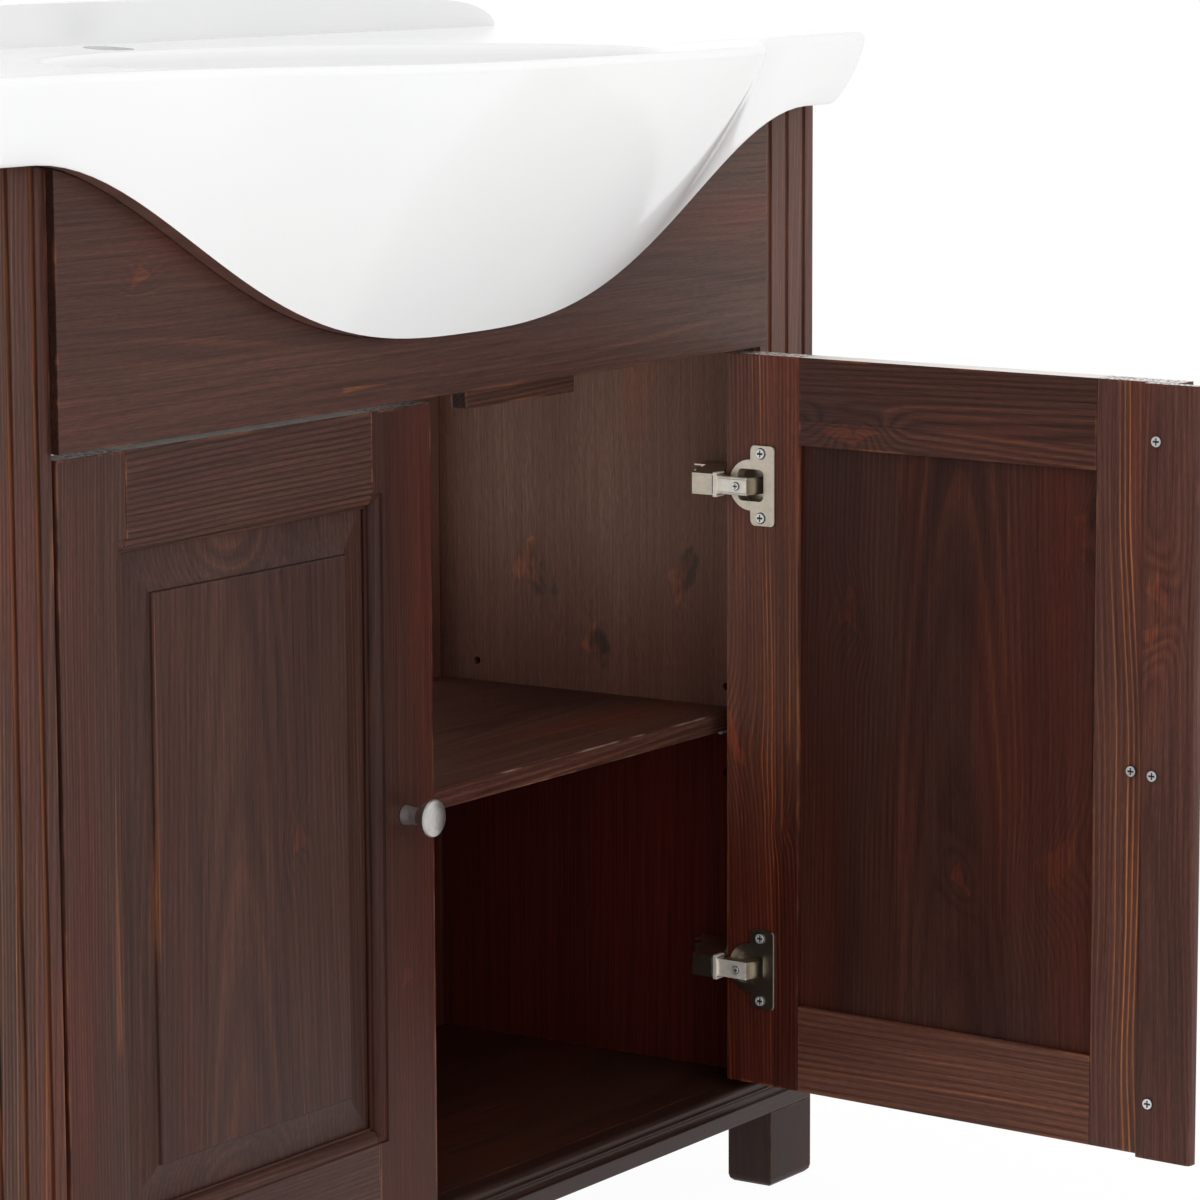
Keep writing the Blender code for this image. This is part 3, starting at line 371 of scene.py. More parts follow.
def pine(node, grain, seed, turned=False, pith=(0.06, 0.05), taper=0.02, ring=0.0026, wander=0.012,
         lines=0.3, warmth=0.4, tone=1.0, dark=0.25, gloss=0.18, mottle=0.6, fibres=1.7,
         tint=(1.0, 1.0, 1.0), painted_shade_below=None, painted_light_ramp=None, seams=(), shades=None, knots=(), streaks=(),
         wear=0.6, flutes=False, field=None, rub=WORN, painted_sheen_top=False):
    """Stained pine on one board.

    grain names the axes along and across the board; pith is the trunk's middle, across and in
    depth from the board's own middle; seams part planks, with a tone each in shades; knots are
    (along, across, size, core) and streaks are (start, end, across, width), all in metres.
    painted_light_ramp is (start, end, colour factor) along the grain: painted light where the
    factor lightens and painted shade where it darkens. painted_shade_below is (level, share left):
    painted shade, a darker red-brown below the level.
    """
    tree = Tree(node + "_pine")
    place, normal = board_space(tree, turned)
    low, high = shut_box(node, turned)
    axes = ["XYZ".index(letter) for letter in grain]
    axes.append(3 - sum(axes))
    spot = along, across, depth = [place[axis] for axis in axes]
    middle = (low + high) / 2

    shift = seed * SEED_STEP
    plank, shade = planks(tree, across, seams, shades)
    if plank is not None:
        shift = tree.math("MULTIPLY_ADD", plank, PLANK_STEP, shift)

    # Growth rings, bent by waves and round knots
    wave = tree.noise(tree.scaled(spot, WAVE, shift))
    ripple = tree.noise(tree.scaled(spot, RIPPLE, shift))
    bent = tree.math("MULTIPLY_ADD", tree.math("SUBTRACT", wave, 0.5), wander, across)
    bent = tree.math("MULTIPLY_ADD", ripple, RIPPLE_REACH, bent)
    from_pith = tree.math("SUBTRACT", bent, middle[axes[1]] + pith[0])
    if plank is not None:
        from_pith = tree.math("MULTIPLY_ADD", plank, PLANK_PITH, from_pith)
    sunk = tree.math("SUBTRACT", depth, middle[axes[2]] + pith[1])
    radius = tree.math("SQRT", tree.math("ADD", tree.math("MULTIPLY", from_pith, from_pith),
                                         tree.math("MULTIPLY", sunk, sunk)))
    radius = tree.math("MULTIPLY_ADD", along, taper, radius)
    glows, hearts = [], []
    for number, spec in enumerate(knots):
        swell, glow, heart = knot(tree, spot, bent, number, seed, *spec)
        radius = tree.math("MULTIPLY_ADD", swell, spec[2] * SWELL_MOST, radius)
        glows.append(glow)
        if heart is not None:
            hearts.append(heart)
    bands = [flame(tree, along, bent, *spec) for spec in streaks]

    rings = tree.math("MULTIPLY_ADD", radius, 1 / ring, shift)
    year = tree.math("FRACT", rings)
    late = tree.math("MULTIPLY", tree.ease(year, *LATE_RISE), tree.ease(year, *LATE_FALL))
    luck = tree.math("POWER", tree.chance(tree.math("FLOOR", rings)), LUCK_POWER)
    patch = tree.ease(tree.noise(tree.scaled(spot, PATCH, seed * PATCH_SEED + PATCH_START)), *PATCH_RANGE)
    line = tree.math("MULTIPLY", late, tree.math("MULTIPLY_ADD", luck, *LUCK_MIX))
    line = tree.math("MULTIPLY", line, tree.math("MULTIPLY_ADD", patch, *PATCH_MIX))
    strand = (along, bent, depth)
    fibre = tree.noise(tree.scaled(strand, FIBRE, shift), *FIBRE_NOISE)
    pores = tree.noise(tree.scaled(strand, PORES, shift), *PORE_NOISE)
    cloud = tree.noise(tree.scaled(strand, CLOUD, shift), *CLOUD_NOISE)

    # Colour of the wood
    cloud = tree.math("MULTIPLY_ADD", tree.ease(cloud, *CLOUD_RANGE), mottle, CLOUD_MIDDLE - mottle / 2)
    colour = tree.blend(cloud, DEEP, BROWN)
    redness = tree.noise(tree.scaled(strand, REDNESS, seed * RED_SEED + RED_START))
    redness = tree.ease(redness, *[value - RED_BY_WARMTH * warmth for value in RED_RANGE])
    colour = tree.blend(tree.math("MULTIPLY", redness, RED_MOST), colour, RED)
    dark_year = tree.math("MULTIPLY", tree.ease(year, *DARK_RISE), tree.ease(year, *DARK_FALL))
    colour = tree.blend(tree.math("MULTIPLY", dark_year, dark), colour, DARK_YEAR)
    colour = tree.blend(tree.math("MULTIPLY", line, lines), colour, LATEWOOD)
    for marks, mix, wood in ((bands, BAND_MIX, LATEWOOD), (glows, GLOW_MIX, KNOT_WOOD)):
        if marks:
            share = tree.math("MULTIPLY", largest(tree, marks), tree.math("MULTIPLY_ADD", fibre, *mix))
            colour = tree.blend(share, colour, wood)
    if hearts:
        colour = tree.blend(largest(tree, hearts), colour, KNOT_CORE)

    # Stain, then painted shade below a level and a painted light ramp along the grain
    streak = tree.math("MULTIPLY_ADD", fibre, fibres, 1 - fibres / 2)
    streak = tree.math("MULTIPLY", streak, tree.math("MULTIPLY_ADD", pores, *PORE_MIX))
    if plank is not None:
        if shade is None:
            luck = tree.chance(tree.math("ADD", plank, seed * SHADE_SEED))
            shade = tree.math("MULTIPLY_ADD", luck, *PLANK_MIX)
        streak = tree.math("MULTIPLY", streak, shade)
    streak = tree.math("MULTIPLY", streak, tone * STAIN)
    stain = [tree.math("MULTIPLY", streak, share) for share in tint]
    colour = tree.blend(1.0, colour, tree.vector(*stain), "MULTIPLY")
    # painted shade: the board turns darker and redder below a level, as in the shaded lower compartment
    if painted_shade_below:
        level, share = painted_shade_below
        below = tree.math("MULTIPLY", tree.ease(along, level + BELOW_SHADE_EDGE, level - BELOW_SHADE_EDGE), 1 - share)
        shade_strength = tree.math("MULTIPLY", tree.math("MULTIPLY", fibre, BELOW_SHADE_FIBRE),
                           tree.math("MULTIPLY_ADD", cloud, *BELOW_SHADE_MIX))
        colour = tree.blend(below, colour, tree.dim(BELOW_SHADE_COLOUR, shade_strength))
    # painted light and shade: a colour factor blended in along the grain, lighter towards the apron's
    # right, darker towards the bottom of the lining and the open door's hinge stile
    if painted_light_ramp:
        start, end, ramp_factor = painted_light_ramp
        ramp_colour = tree.blend(1.0, colour, (*ramp_factor, 1.0), "MULTIPLY")
        colour = tree.blend(tree.ease(along, start, end), colour, ramp_colour)

    # End grain, and painted sheen: pale tops of the door boards, hatched where they are end grain
    ends = tree.ease(tree.math("ABSOLUTE", normal[axes[0]]), *FACING)
    saw = tree.noise(tree.scaled(spot, SAW, shift))
    colour = tree.blend(ends, colour, tree.dim(colour, tree.math("MULTIPLY_ADD", saw, *END_MIX)))
    # painted sheen: the tops of the door boards are painted pale, as if light from above catches them
    if painted_sheen_top:
        hatch = tree.math("MULTIPLY", tree.ease(saw, *HATCH_RANGE), HATCH_MOST)
        plain = tree.math("MULTIPLY", tree.math("SUBTRACT", 1.0, ends), SHEEN_MOST)
        share = tree.math("ADD", tree.math("MULTIPLY", ends, hatch), plain)
        near_top = tree.ease(place[2], *[high.z - gap for gap in SHEEN_DEPTH])
        top = tree.math("MULTIPLY", tree.ease(normal[2], *FACING), near_top)
        colour = tree.blend(tree.math("MULTIPLY", share, top), colour, PAINTED_SHEEN)

    # Stain rubbed through at edges, flutes and the panel's rim
    edge = edge_distance(tree, place, low, high)
    worn = tree.noise(tree.scaled(spot, RUBBING, shift), *RUBBING_NOISE)
    worn = tree.math("MULTIPLY", tree.ease(worn, *RUBBING_RANGE), tree.ease(edge, *EDGE_REACH))
    worn = tree.math("MULTIPLY", worn, wear)
    if flutes:
        dip = tree.math("SUBTRACT", place[1], low.y)
        groove = tree.math("MULTIPLY", tree.ease(dip, *FLUTE_IN), tree.ease(dip, *FLUTE_OUT))
        grain_wear = tree.math("MULTIPLY_ADD", tree.ease(fibre, *FLUTE_FIBRE), *FLUTE_MIX)
        worn = tree.math("MAXIMUM", worn, tree.math("MULTIPLY", groove, grain_wear))
    if field:
        rim = rim_distance(tree, place, field)
        rubbed = tree.math("MULTIPLY", tree.ease(rim, *RIM_REACH), tree.ease(worn, *RIM_WORN))
        rubbed = tree.math("MULTIPLY", rubbed, tree.ease(normal[1], *FRONT_RANGE))
        worn = tree.math("MAXIMUM", worn, tree.math("MULTIPLY", rubbed, RIM_MOST * wear))
    colour = tree.blend(worn, colour, rub)

    height = tree.math("MULTIPLY_ADD", line, LINE_HEIGHT, tree.math("MULTIPLY", fibre, FIBRE_HEIGHT))
    height = tree.math("MULTIPLY_ADD", ends, tree.math("MULTIPLY", saw, SAW_HEIGHT), height)
    tree.set(Base_Color=colour, Roughness=tree.math("MULTIPLY_ADD", fibre, *ROUGH_MIX),
             Normal=tree.bump(*GRAIN_BUMP, height, BOARD_BEVEL), Specular_IOR_Level=gloss)
    give(node, tree.material)


CABINET_BOARDS = {
    "front_apron": dict(
        grain="XZ", seed=1.0, pith=(-0.02, 0.12), lines=0.12, mottle=0.35, dark=0.15, wander=0.006,
        # painted light: the apron turns lighter and greyer towards the right
        tone=0.98, warmth=0.25, tint=(1.0, 0.95, 0.92), wear=0.4, painted_light_ramp=(0.10, 0.40, (1.25, 1.6, 1.7)),
        seams=(0.6725,), knots=((-0.3127, 0.7291, 0.006, 0),),
        streaks=((-0.118, -0.065, 0.6417, 0.0022),)),
    "plinth_rail": dict(grain="XZ", seed=2.0, lines=0.15, tone=0.5, wear=0.1, gloss=0.3),
    "bottom_board": dict(
        grain="XY", seed=3.0, lines=0.25, warmth=0.8, tone=0.6, gloss=0.05, wear=0.3, seams=(0.14, 0.25)),
    "shelf": dict(
        grain="XY", seed=4.0, tone=1.1, pith=(0.01, 0.08), lines=0.2, warmth=0.25, seams=(0.15, 0.26),
        wear=1.3, gloss=0.01, rub=srgb(160, 136, 120)),
    "back_top_rail": dict(grain="XZ", seed=5.0, lines=0.3),
    "back_bottom_panel": dict(
        grain="ZX", seed=6.0, lines=0.3, warmth=0.7, tone=0.7, gloss=0.03, tint=(1.0, 0.8, 0.75),
        seams=(-0.3, -0.2, -0.09, 0.02, 0.12, 0.23, 0.33)),
    "left_pilaster": dict(
        grain="ZX", seed=7.0, tone=1.1, tint=(1.0, 1.1, 1.12), pith=(0.05, 0.03), lines=0.9, warmth=0.6,
        dark=0.4, flutes=True),
    "right_pilaster": dict(
        # painted light: tone raised well above the left pilaster's, as the right side gets more light
        grain="ZX", seed=8.0, tone=1.9, tint=(1.0, 1.12, 1.14), pith=(0.04, 0.03), lines=0.15, warmth=0.3,
        flutes=True),
    "left_side_panel": dict(grain="ZY", seed=9.0, lines=0.3, seams=(0.13, 0.24)),
    "right_side_panel": dict(grain="ZY", seed=10.0, lines=0.3, seams=(0.13, 0.24)),
    "left_side_lining": dict(
        # painted shade: darker below the shelf
        grain="ZY", seed=11.0, tone=2.4, tint=(1.0, 1.2, 1.2), painted_shade_below=(0.35, 0.06), gloss=0.06, fibres=0.8,
        dark=0.08, lines=0.1, warmth=0.2, seams=(0.14, 0.23)),
    "right_side_lining": dict(
        # painted shade: darker below the shelf and towards the bottom
        grain="ZY", seed=12.0, tone=2.8, tint=(1.0, 1.3, 1.28), pith=(0.0, 0.15), painted_shade_below=(0.35, 0.06),
        painted_light_ramp=(0.52, 0.38, (0.66, 0.53, 0.53)), fibres=0.8, gloss=0.06, lines=0.05, dark=0.06, mottle=0.3,
        warmth=0.1, wear=0.2, seams=(FRONT_Y + 0.13, FRONT_Y + 0.2), shades=(1.0, 1.02, 0.98),
        knots=((0.4477, FRONT_Y + 0.2196, 0.013, 0.8), (0.4487, FRONT_Y + 0.0863, 0.012, 0.7),
               (0.3946, FRONT_Y + 0.1659, 0.010, 0.8))),
    "door_stop": dict(grain="XZ", seed=13.0, lines=0.2),
}
for number, leg in enumerate(("front_left", "front_right", "rear_left", "rear_right")):
    CABINET_BOARDS[leg + "_leg"] = dict(grain="ZX", seed=15.0 + number, lines=0.15, wear=0.2, tone=0.5)
for board, look in CABINET_BOARDS.items():
    pine(board, **look)

DOOR_BOARDS = {
    "left_door_hinge_stile": dict(
        grain="ZX", seed=21.0, tone=0.94, pith=(0.055, 0.02), lines=0.4, warmth=0.4, dark=0.4,
        streaks=((0.25, 0.44, -0.338, 0.004),)),
    "left_door_free_stile": dict(
        grain="ZX", seed=22.0, pith=(0.075, 0.02), lines=0.15, warmth=0.85, tone=0.6, tint=(1.0, 0.86, 0.8),
        knots=((0.25, -0.046, 0.006, 0),)),
    "left_door_top_rail": dict(
        grain="XZ", seed=23.0, pith=(0.06, 0.02), ring=0.0032, lines=0.3, warmth=0.3, dark=0.75, tone=1.08,
        tint=(1.0, 0.95, 0.92)),
    "left_door_bottom_rail": dict(grain="XZ", seed=24.0, pith=(-0.05, 0.02), lines=0.2, warmth=0.35),
    "right_door_hinge_stile": dict(
        grain="ZX", seed=51.0, turned=True, pith=(0.10, 0.02), ring=0.0034, lines=1.0, dark=0.3, warmth=0.4,
        # painted shade: darker towards the bottom of the stile
        tone=1.85, tint=(1.0, 0.91, 0.8), painted_light_ramp=(0.40, 0.22, (0.56, 0.30, 0.27)), seams=(0.3459,),
        shades=(0.8, 1.06), knots=((0.347, 0.387, 0.014, 0), (0.286, 0.335, 0.006, 0.3)),
        streaks=((0.33, 0.55, 0.332, 0.0009), (0.28, 0.37, 0.338, 0.0018))),
    "right_door_free_stile": dict(
        grain="ZX", seed=52.0, turned=True, pith=(0.11, 0.02), ring=0.0042, lines=1.1, warmth=0.4,
        wander=0.03, tone=1.6, dark=0.15),
    "right_door_top_rail": dict(
        grain="XZ", seed=53.0, turned=True, tone=1.02, tint=(1.0, 0.9, 0.85), dark=0.5, pith=(0.01, 0.06),
        lines=0.2, warmth=0.45, seams=(0.5785,), shades=(1.12, 0.94),
        knots=((0.287, 0.572, 0.009, 0), (0.268, 0.574, 0.008, 0))),
    "right_door_bottom_rail": dict(
        grain="XZ", seed=54.0, turned=True, pith=(-0.05, 0.02), lines=0.4, warmth=0.25, tone=1.85,
        tint=(1.0, 0.92, 0.82), dark=0.45, ring=0.005),
    "right_door_stop_strip": dict(
        grain="ZX", seed=81.0, turned=True, tone=1.4, mottle=0.4, pith=(0.01, 0.03), lines=0.12, warmth=0.4,
        wear=0.4, knots=((0.485, 0.022, 0.010, 0.2), (0.452, 0.026, 0.008, 0.2))),
}
for board, look in DOOR_BOARDS.items():
    pine(board, painted_sheen_top="bottom" not in board, **look)

PANEL_RIM = 0.0331
PANEL_SEAMS = (-0.05, 0.04)
PANEL_PITH = (0.02, 0.16)
PANEL_WEAR = 0.9
PANELS = {
    "left_door_panel": dict(
        seed=61.0, tone=0.84, mottle=0.5, lines=0.12, dark=0.25, warmth=0.25,
        knots=((0.36, -0.155, 0.007, 0.15),), streaks=((0.30, 0.56, -0.297, 0.0028),)),
    "right_door_panel": dict(
        seed=71.0, turned=True, lines=0.15, warmth=0.6, tone=0.71, tint=(1.0, 0.92, 0.91), gloss=0.1,
        mottle=0.8, fibres=1.2,
        knots=((0.4422, 0.2818, 0.010, 0.3), (0.525, 0.088, 0.009, 0.6), (0.2653, 0.1886, 0.008, 0),
               (0.2807, 0.1099, 0.016, 0), (0.500, 0.086, 0.006, 0.5))),
}
for board, look in PANELS.items():
    low, high = shut_box(board, look.get("turned", False))
    field = (low.x + PANEL_RIM, high.x - PANEL_RIM, low.z + PANEL_RIM, high.z - PANEL_RIM)
    seams = [(low.x + high.x) / 2 + off for off in PANEL_SEAMS]
    pine(board, "ZX", pith=PANEL_PITH, seams=seams, field=field, wear=PANEL_WEAR, **look)


# Glaze and metal

EVEN_RANGE = (0.3, 0.7)
GLAZE_COOL = (0.872, 0.875, 0.877, 1.0)
GLAZE_WARM = (0.89, 0.89, 0.887, 1.0)
GLAZE_CLOUDS = 6.0
GLAZE_PEEL = 55.0
GLAZE_ROUGH = (0.04, 0.10)
GLAZE_BUMP = (0.03, 0.001)
GLAZE_GLOSS = 0.12
# painted shade: browns for the basin's foot, like the apron in shade under the lip
FOOT_SHADE_DARK = srgb(88, 57, 48)
FOOT_SHADE_LIGHT = srgb(104, 68, 58)
FOOT_SHADE_NOISE = (3.0, 0.6, 90.0)
FOOT_SHADE_ROUGH = (0.2, 0.6)
FOOT_SHADE_BUMP = (0.2, 0.0004)
SCRATCH_SEED = 0.3
SCRATCH_NOISE = (2.0, 0.6)
SCRATCH_ROUGH = 0.16
SCRATCH_BUMP = (0.12, 0.0002)
SPOT_NOISE = (3.0, 0.6, 160.0)
SPOT_RANGE = (0.35, 0.75)
SPOT_TONE = 0.86
METAL_BEVEL = 0.0005
FOOT_NORMAL_Y = (-0.02, 0.07)
FOOT_NORMAL_Z = -0.5
FOOT_DEPTH = 0.03
WELD = 0.00002
FLAT_ANGLE = math.radians(0.3)
SHARP_ANGLE = math.radians(84)
WING_START = 0.445
WING_H = 0.060
WING_TUCK = 0.026
WING_POWER = 1.5


def add_piece(name, shape, body, materials):
    """Object from a bmesh, riding on a body."""
    mesh = bpy.data.meshes.new(name)
    shape.to_mesh(mesh)
    shape.free()
    for material in materials:
        mesh.materials.append(material)
    piece = bpy.data.objects.new(name, mesh)
    bpy.context.scene.collection.objects.link(piece)
    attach(piece, body)
    return piece


def glaze():
    """White glazed ceramic with a faint orange-peel."""
    tree = Tree("basin_glaze")
    place = tree.node("TexCoord").outputs["Object"]
    cloud = tree.noise(place, scale=GLAZE_CLOUDS)
    colour = tree.blend(tree.ease(cloud, *EVEN_RANGE), GLAZE_COOL, GLAZE_WARM)
    peel = tree.noise(place, scale=GLAZE_PEEL)
    rough = tree.math("MULTIPLY_ADD", cloud, *GLAZE_ROUGH)
    tree.set(Base_Color=colour, Roughness=rough, Normal=tree.bump(*GLAZE_BUMP, peel),
             Specular_IOR_Level=GLAZE_GLOSS)
    return tree.material


def foot_painted_shade():
    """The basin's down-facing foot painted the brown of the apron in shade, a little darker as a painted
    contact shadow under the lip.
    """
    tree = Tree("basin_foot_painted_shade")
    place = tree.node("TexCoord").outputs["Object"]
    patchiness = tree.noise(place, *FOOT_SHADE_NOISE)
    colour = tree.blend(tree.ease(patchiness, *EVEN_RANGE), FOOT_SHADE_DARK, FOOT_SHADE_LIGHT)
    rough = tree.math("MULTIPLY_ADD", patchiness, *FOOT_SHADE_ROUGH)
    tree.set(Base_Color=colour, Roughness=rough, Normal=tree.bump(*FOOT_SHADE_BUMP, patchiness))
    return tree.material


def is_foot(face):
    """Whether a face of the basin faces down like the foot that rests on the apron's curved edge."""
    return FOOT_NORMAL_Y[0] < face.normal.y < FOOT_NORMAL_Y[1] and face.normal.z < FOOT_NORMAL_Z


def smooth_basin(finishes):
    """The basin with rounded shading, its foot in painted brown shade and its wing ends tucked under."""
    shape = bmesh.new()
    shape.from_mesh(NODES["basin"].data)
    bmesh.ops.remove_doubles(shape, verts=shape.verts, dist=WELD)
    bmesh.ops.dissolve_limit(shape, angle_limit=FLAT_ANGLE, verts=shape.verts, edges=shape.edges)
    for face in shape.faces:
        in_front = face.calc_center_median().y < FRONT_Y + FOOT_DEPTH
        face.smooth = True
        face.material_index = 1 if is_foot(face) and in_front else 0
    for edge in shape.edges:
        kinds = {is_foot(face) for face in edge.link_faces}
        edge.smooth = edge.calc_face_angle(0.0) < SHARP_ANGLE and len(kinds) == 1
    _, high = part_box("basin")
    rim_z = max(vert.co.z for vert in shape.verts if vert.co.y < FRONT_Y)
    for vert in shape.verts:
        out = (abs(vert.co.x) - WING_START) / (high[0] - WING_START)
        drop = min(max((rim_z - vert.co.z) / WING_H, 0.0), 1.0)
        if out > 0:
            vert.co.x -= math.copysign(WING_TUCK * out * drop ** WING_POWER, vert.co.x)
    piece = add_piece("basin_glazed", shape, "cabinet", finishes)
    piece.modifiers.new("even_shading", "WEIGHTED_NORMAL").keep_sharp = True
    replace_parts(piece, "basin")


def metal(name, colour, rough, grain, metallic=1.0):
    """Plated steel with faint spots and fine scratches; grain is the scratches' scale on each axis."""
    tree = Tree(name)
    place = tree.node("TexCoord").outputs["Object"]
    parts = tree.node("SeparateXYZ", None, Vector=place).outputs
    scratches = tree.noise(tree.scaled(parts, grain, SCRATCH_SEED), *SCRATCH_NOISE)
    spots = tree.noise(place, *SPOT_NOISE)
    dull = [value * SPOT_TONE for value in colour[:3]] + [1.0]
    tree.set(Base_Color=tree.blend(tree.ease(spots, *SPOT_RANGE), colour, dull),
             Roughness=tree.math("MULTIPLY_ADD", scratches, SCRATCH_ROUGH, rough),
             Normal=tree.bump(*SCRATCH_BUMP, scratches, METAL_BEVEL), Metallic=metallic)
    return tree.material


LENGTHWISE = (300.0, 300.0, 900.0)
MATT = (500.0, 500.0, 500.0)
FINE = (700.0, 700.0, 700.0)

smooth_basin([glaze(), foot_painted_shade()])
NICKEL = metal("nickel_plate", srgb(200, 190, 174), 0.24, LENGTHWISE)
SATIN = metal("satin_nickel", srgb(196, 192, 190), 0.34, FINE)
ZINC = metal("zinc_plate", srgb(238, 239, 238), 0.3, MATT, 0.7)
# painted sheen: paler, partly diffuse nickel for the links and the arms' collars, brighter than the plain
# nickel as if catching light
NICKEL_PAINTED_SHEEN = metal("nickel_painted_sheen", srgb(238, 231, 219), 0.3, LENGTHWISE, 0.4)
# painted shade: dark metal for the floors of screw recesses and the rims of screw heads
RECESS_PAINTED_SHADE = metal("screw_painted_shade", srgb(74, 72, 70), 0.45, MATT)
for node in NODES:
    if node.endswith("_knob"):
        give(node, SATIN)
    elif "screw" in node or "peg" in node:
        give(node, ZINC)
    elif "hinge_arm" in node or "hinge_plate" in node or "hinge_cup" in node:
        give(node, NICKEL)


# Raised panels

TONGUE_V = 0.010
PANEL_SLOPE = ((0.0, TONGUE_V), (0.008, TONGUE_V), (0.014, 0.0095), (0.022, 0.0081), (0.029, 0.0064),
               (PANEL_RIM, 0.0052), (PANEL_RIM + 0.0004, 0.0032), (PANEL_RIM + 0.0012, 0.0025))


def raised_panel(side):
    """Door panel with a hollow slope between its field and its tongue."""
    turned = side == "right"
    node = side + "_door_panel"
    low, high = shut_box(node, turned)
    move = SHUT.inverted() if turned else Matrix.Identity(4)
    shape = bmesh.new()
    rings = []
    for inset, y in [(0.0, high.y), *[(inset, v + FRONT_Y) for inset, v in PANEL_SLOPE]]:
        left, right, bottom, top = low.x + inset, high.x - inset, low.z + inset, high.z - inset
        corners = ((left, bottom), (right, bottom), (right, top), (left, top))
        rings.append([shape.verts.new(move @ Vector((x, y, z))) for x, z in corners])
    for near, far in zip(rings, rings[1:]):
        for step in range(4):
            ahead = (step + 1) % 4
            shape.faces.new((near[step], near[ahead], far[ahead], far[step]))
    shape.faces.new(rings[0])
    shape.faces.new(rings[-1])
    bmesh.ops.recalc_face_normals(shape, faces=shape.faces)
    finish = NODES[node].material_slots[0].material
    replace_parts(add_piece(node + "_raised", shape, side + "_door", [finish]), node)


for side in ("left", "right"):
    raised_panel(side)


# Hinges, screws and the uprights of the back
#
# u runs from the opening's side edge to the middle, v from the door's front into the cabinet.

HALF_OPENING = RIGHT_AXIS.x + AXIS_U

CORNER_POINTS = 4
SHEET = 0.0013
HUG_R = 0.0153
HUG_START, HUG_TURN, HUG_POINTS = 24.0, 56.0, 7
ARM_OUTER_U = 0.0365
ARM_TIP_V = 0.0140
ARM_SHOULDER_V = 0.035
ARM_HALF_H = 0.00775
ARM_FOOT = ((-0.0237, 0.040), (-0.0237, 0.062), (-0.009, 0.062), (-0.009, 0.052))
ARM_FOOT_HALF_H = 0.0034
WEB_TIP_V = 0.0180
COLLAR_U = (0.0265, ARM_OUTER_U + 0.0006)
COLLAR_V = (ARM_TIP_V, 0.0170)
COLLAR_HALF_H = 0.0088

CUP_U = 0.026
CUP_R = 0.0185
CUP_POINTS = 17
FLANGE_U = (CUP_U + 0.00025, 0.04695)
FLANGE_V = (0.0216, 0.0220)
FLANGE_HALF_H = 0.029
FLANGE_ROUND = 0.003
MOUTH_U = (0.0150, 0.0377)
MOUTH_HALF_H = 0.0115
MOUTH_ROUND = 0.004
FLANGE_SCREW_U, FLANGE_SCREW_RISE, FLANGE_SCREW_R = 0.0352, 0.0232, 0.0041

LINK_U = (0.0040, 0.0305)
LINK_V = (0.0322, 0.0332)
LINK_HALF_H = 0.0052
LINK_EDGE_V, LINK_EDGE_RISE, LINK_EDGE_R, LINK_EDGE_POINTS = 0.0329, 0.0055, 0.0010, 8
LINK_CHEEK = ((LINK_U[0], 0.0325), (LINK_U[1], 0.0325), (0.0340, 0.0160), (0.0280, 0.0160),
              (0.0240, 0.0226), (LINK_U[0], 0.0226))
LINK_CHEEK_RISE = (0.0050, 0.0061)
LINK_SLOPE = ((LINK_U[1], LINK_V[1]), (0.0345, 0.0165), (0.0335, 0.0160), (0.0295, 0.0325))
LINK_SLOPE_HALF_H = 0.0051
LINK_SCREW_U, LINK_SCREW_R = 0.0215, 0.0031

HEAD_T = 0.0013
HEAD_RIM_T = 0.0006
HEAD_POINTS = 20
CROWN_SHARE = 0.86
RECESS_REACH = 0.62
RECESS_WIDTH = 0.34
SHANK_SHARE = 0.47
SHANK_POINTS = 14
SHANK_SINK = 0.0012

BACK_V = (0.304, 0.324)
BACK_STILE_U = (-0.0517, 0.008)
BACK_STILE_Z = (0.3413, 0.7179)
BACK_STILE_ROUND = 0.0015


def circle(centre, radius, count, start=0.0, turn=360.0):
    """Points on a circle or an arc, in a plane."""
    steps = count if turn == 360.0 else count - 1
    angles = [math.radians(start + turn * step / steps) for step in range(count)]
    x, y = centre
    return [(x + radius * math.cos(angle), y + radius * math.sin(angle)) for angle in angles]


def square(across, up):
    """Rectangle between two values on each axis of a plane."""
    return [(across[0], up[0]), (across[1], up[0]), (across[1], up[1]), (across[0], up[1])]


def rounded(across, up, radius):
    """Rectangle with round corners, in a plane."""
    (left, right), (bottom, top) = across, up
    corners = ((right - radius, bottom + radius, -90), (right - radius, top - radius, 0),
               (left + radius, top - radius, 90), (left + radius, bottom + radius, 180))
    arcs = [circle((x, y), radius, CORNER_POINTS, start, 90.0) for x, y, start in corners]
    return [point for arc in arcs for point in arc]


def cross(centre, reach, width):
    """Outline of a cross-shaped recess, in a plane."""
    half = width / 2
    points = []
    for turn in range(4):
        angle = math.radians(90 * turn)
        for x, y in ((reach, -half), (reach, half), (half, half)):
            points.append((centre[0] + x * math.cos(angle) - y * math.sin(angle),
                           centre[1] + x * math.sin(angle) + y * math.cos(angle)))
    return points


def span(middle, half):
    """Values on both sides of a middle."""
    return middle - half, middle + half


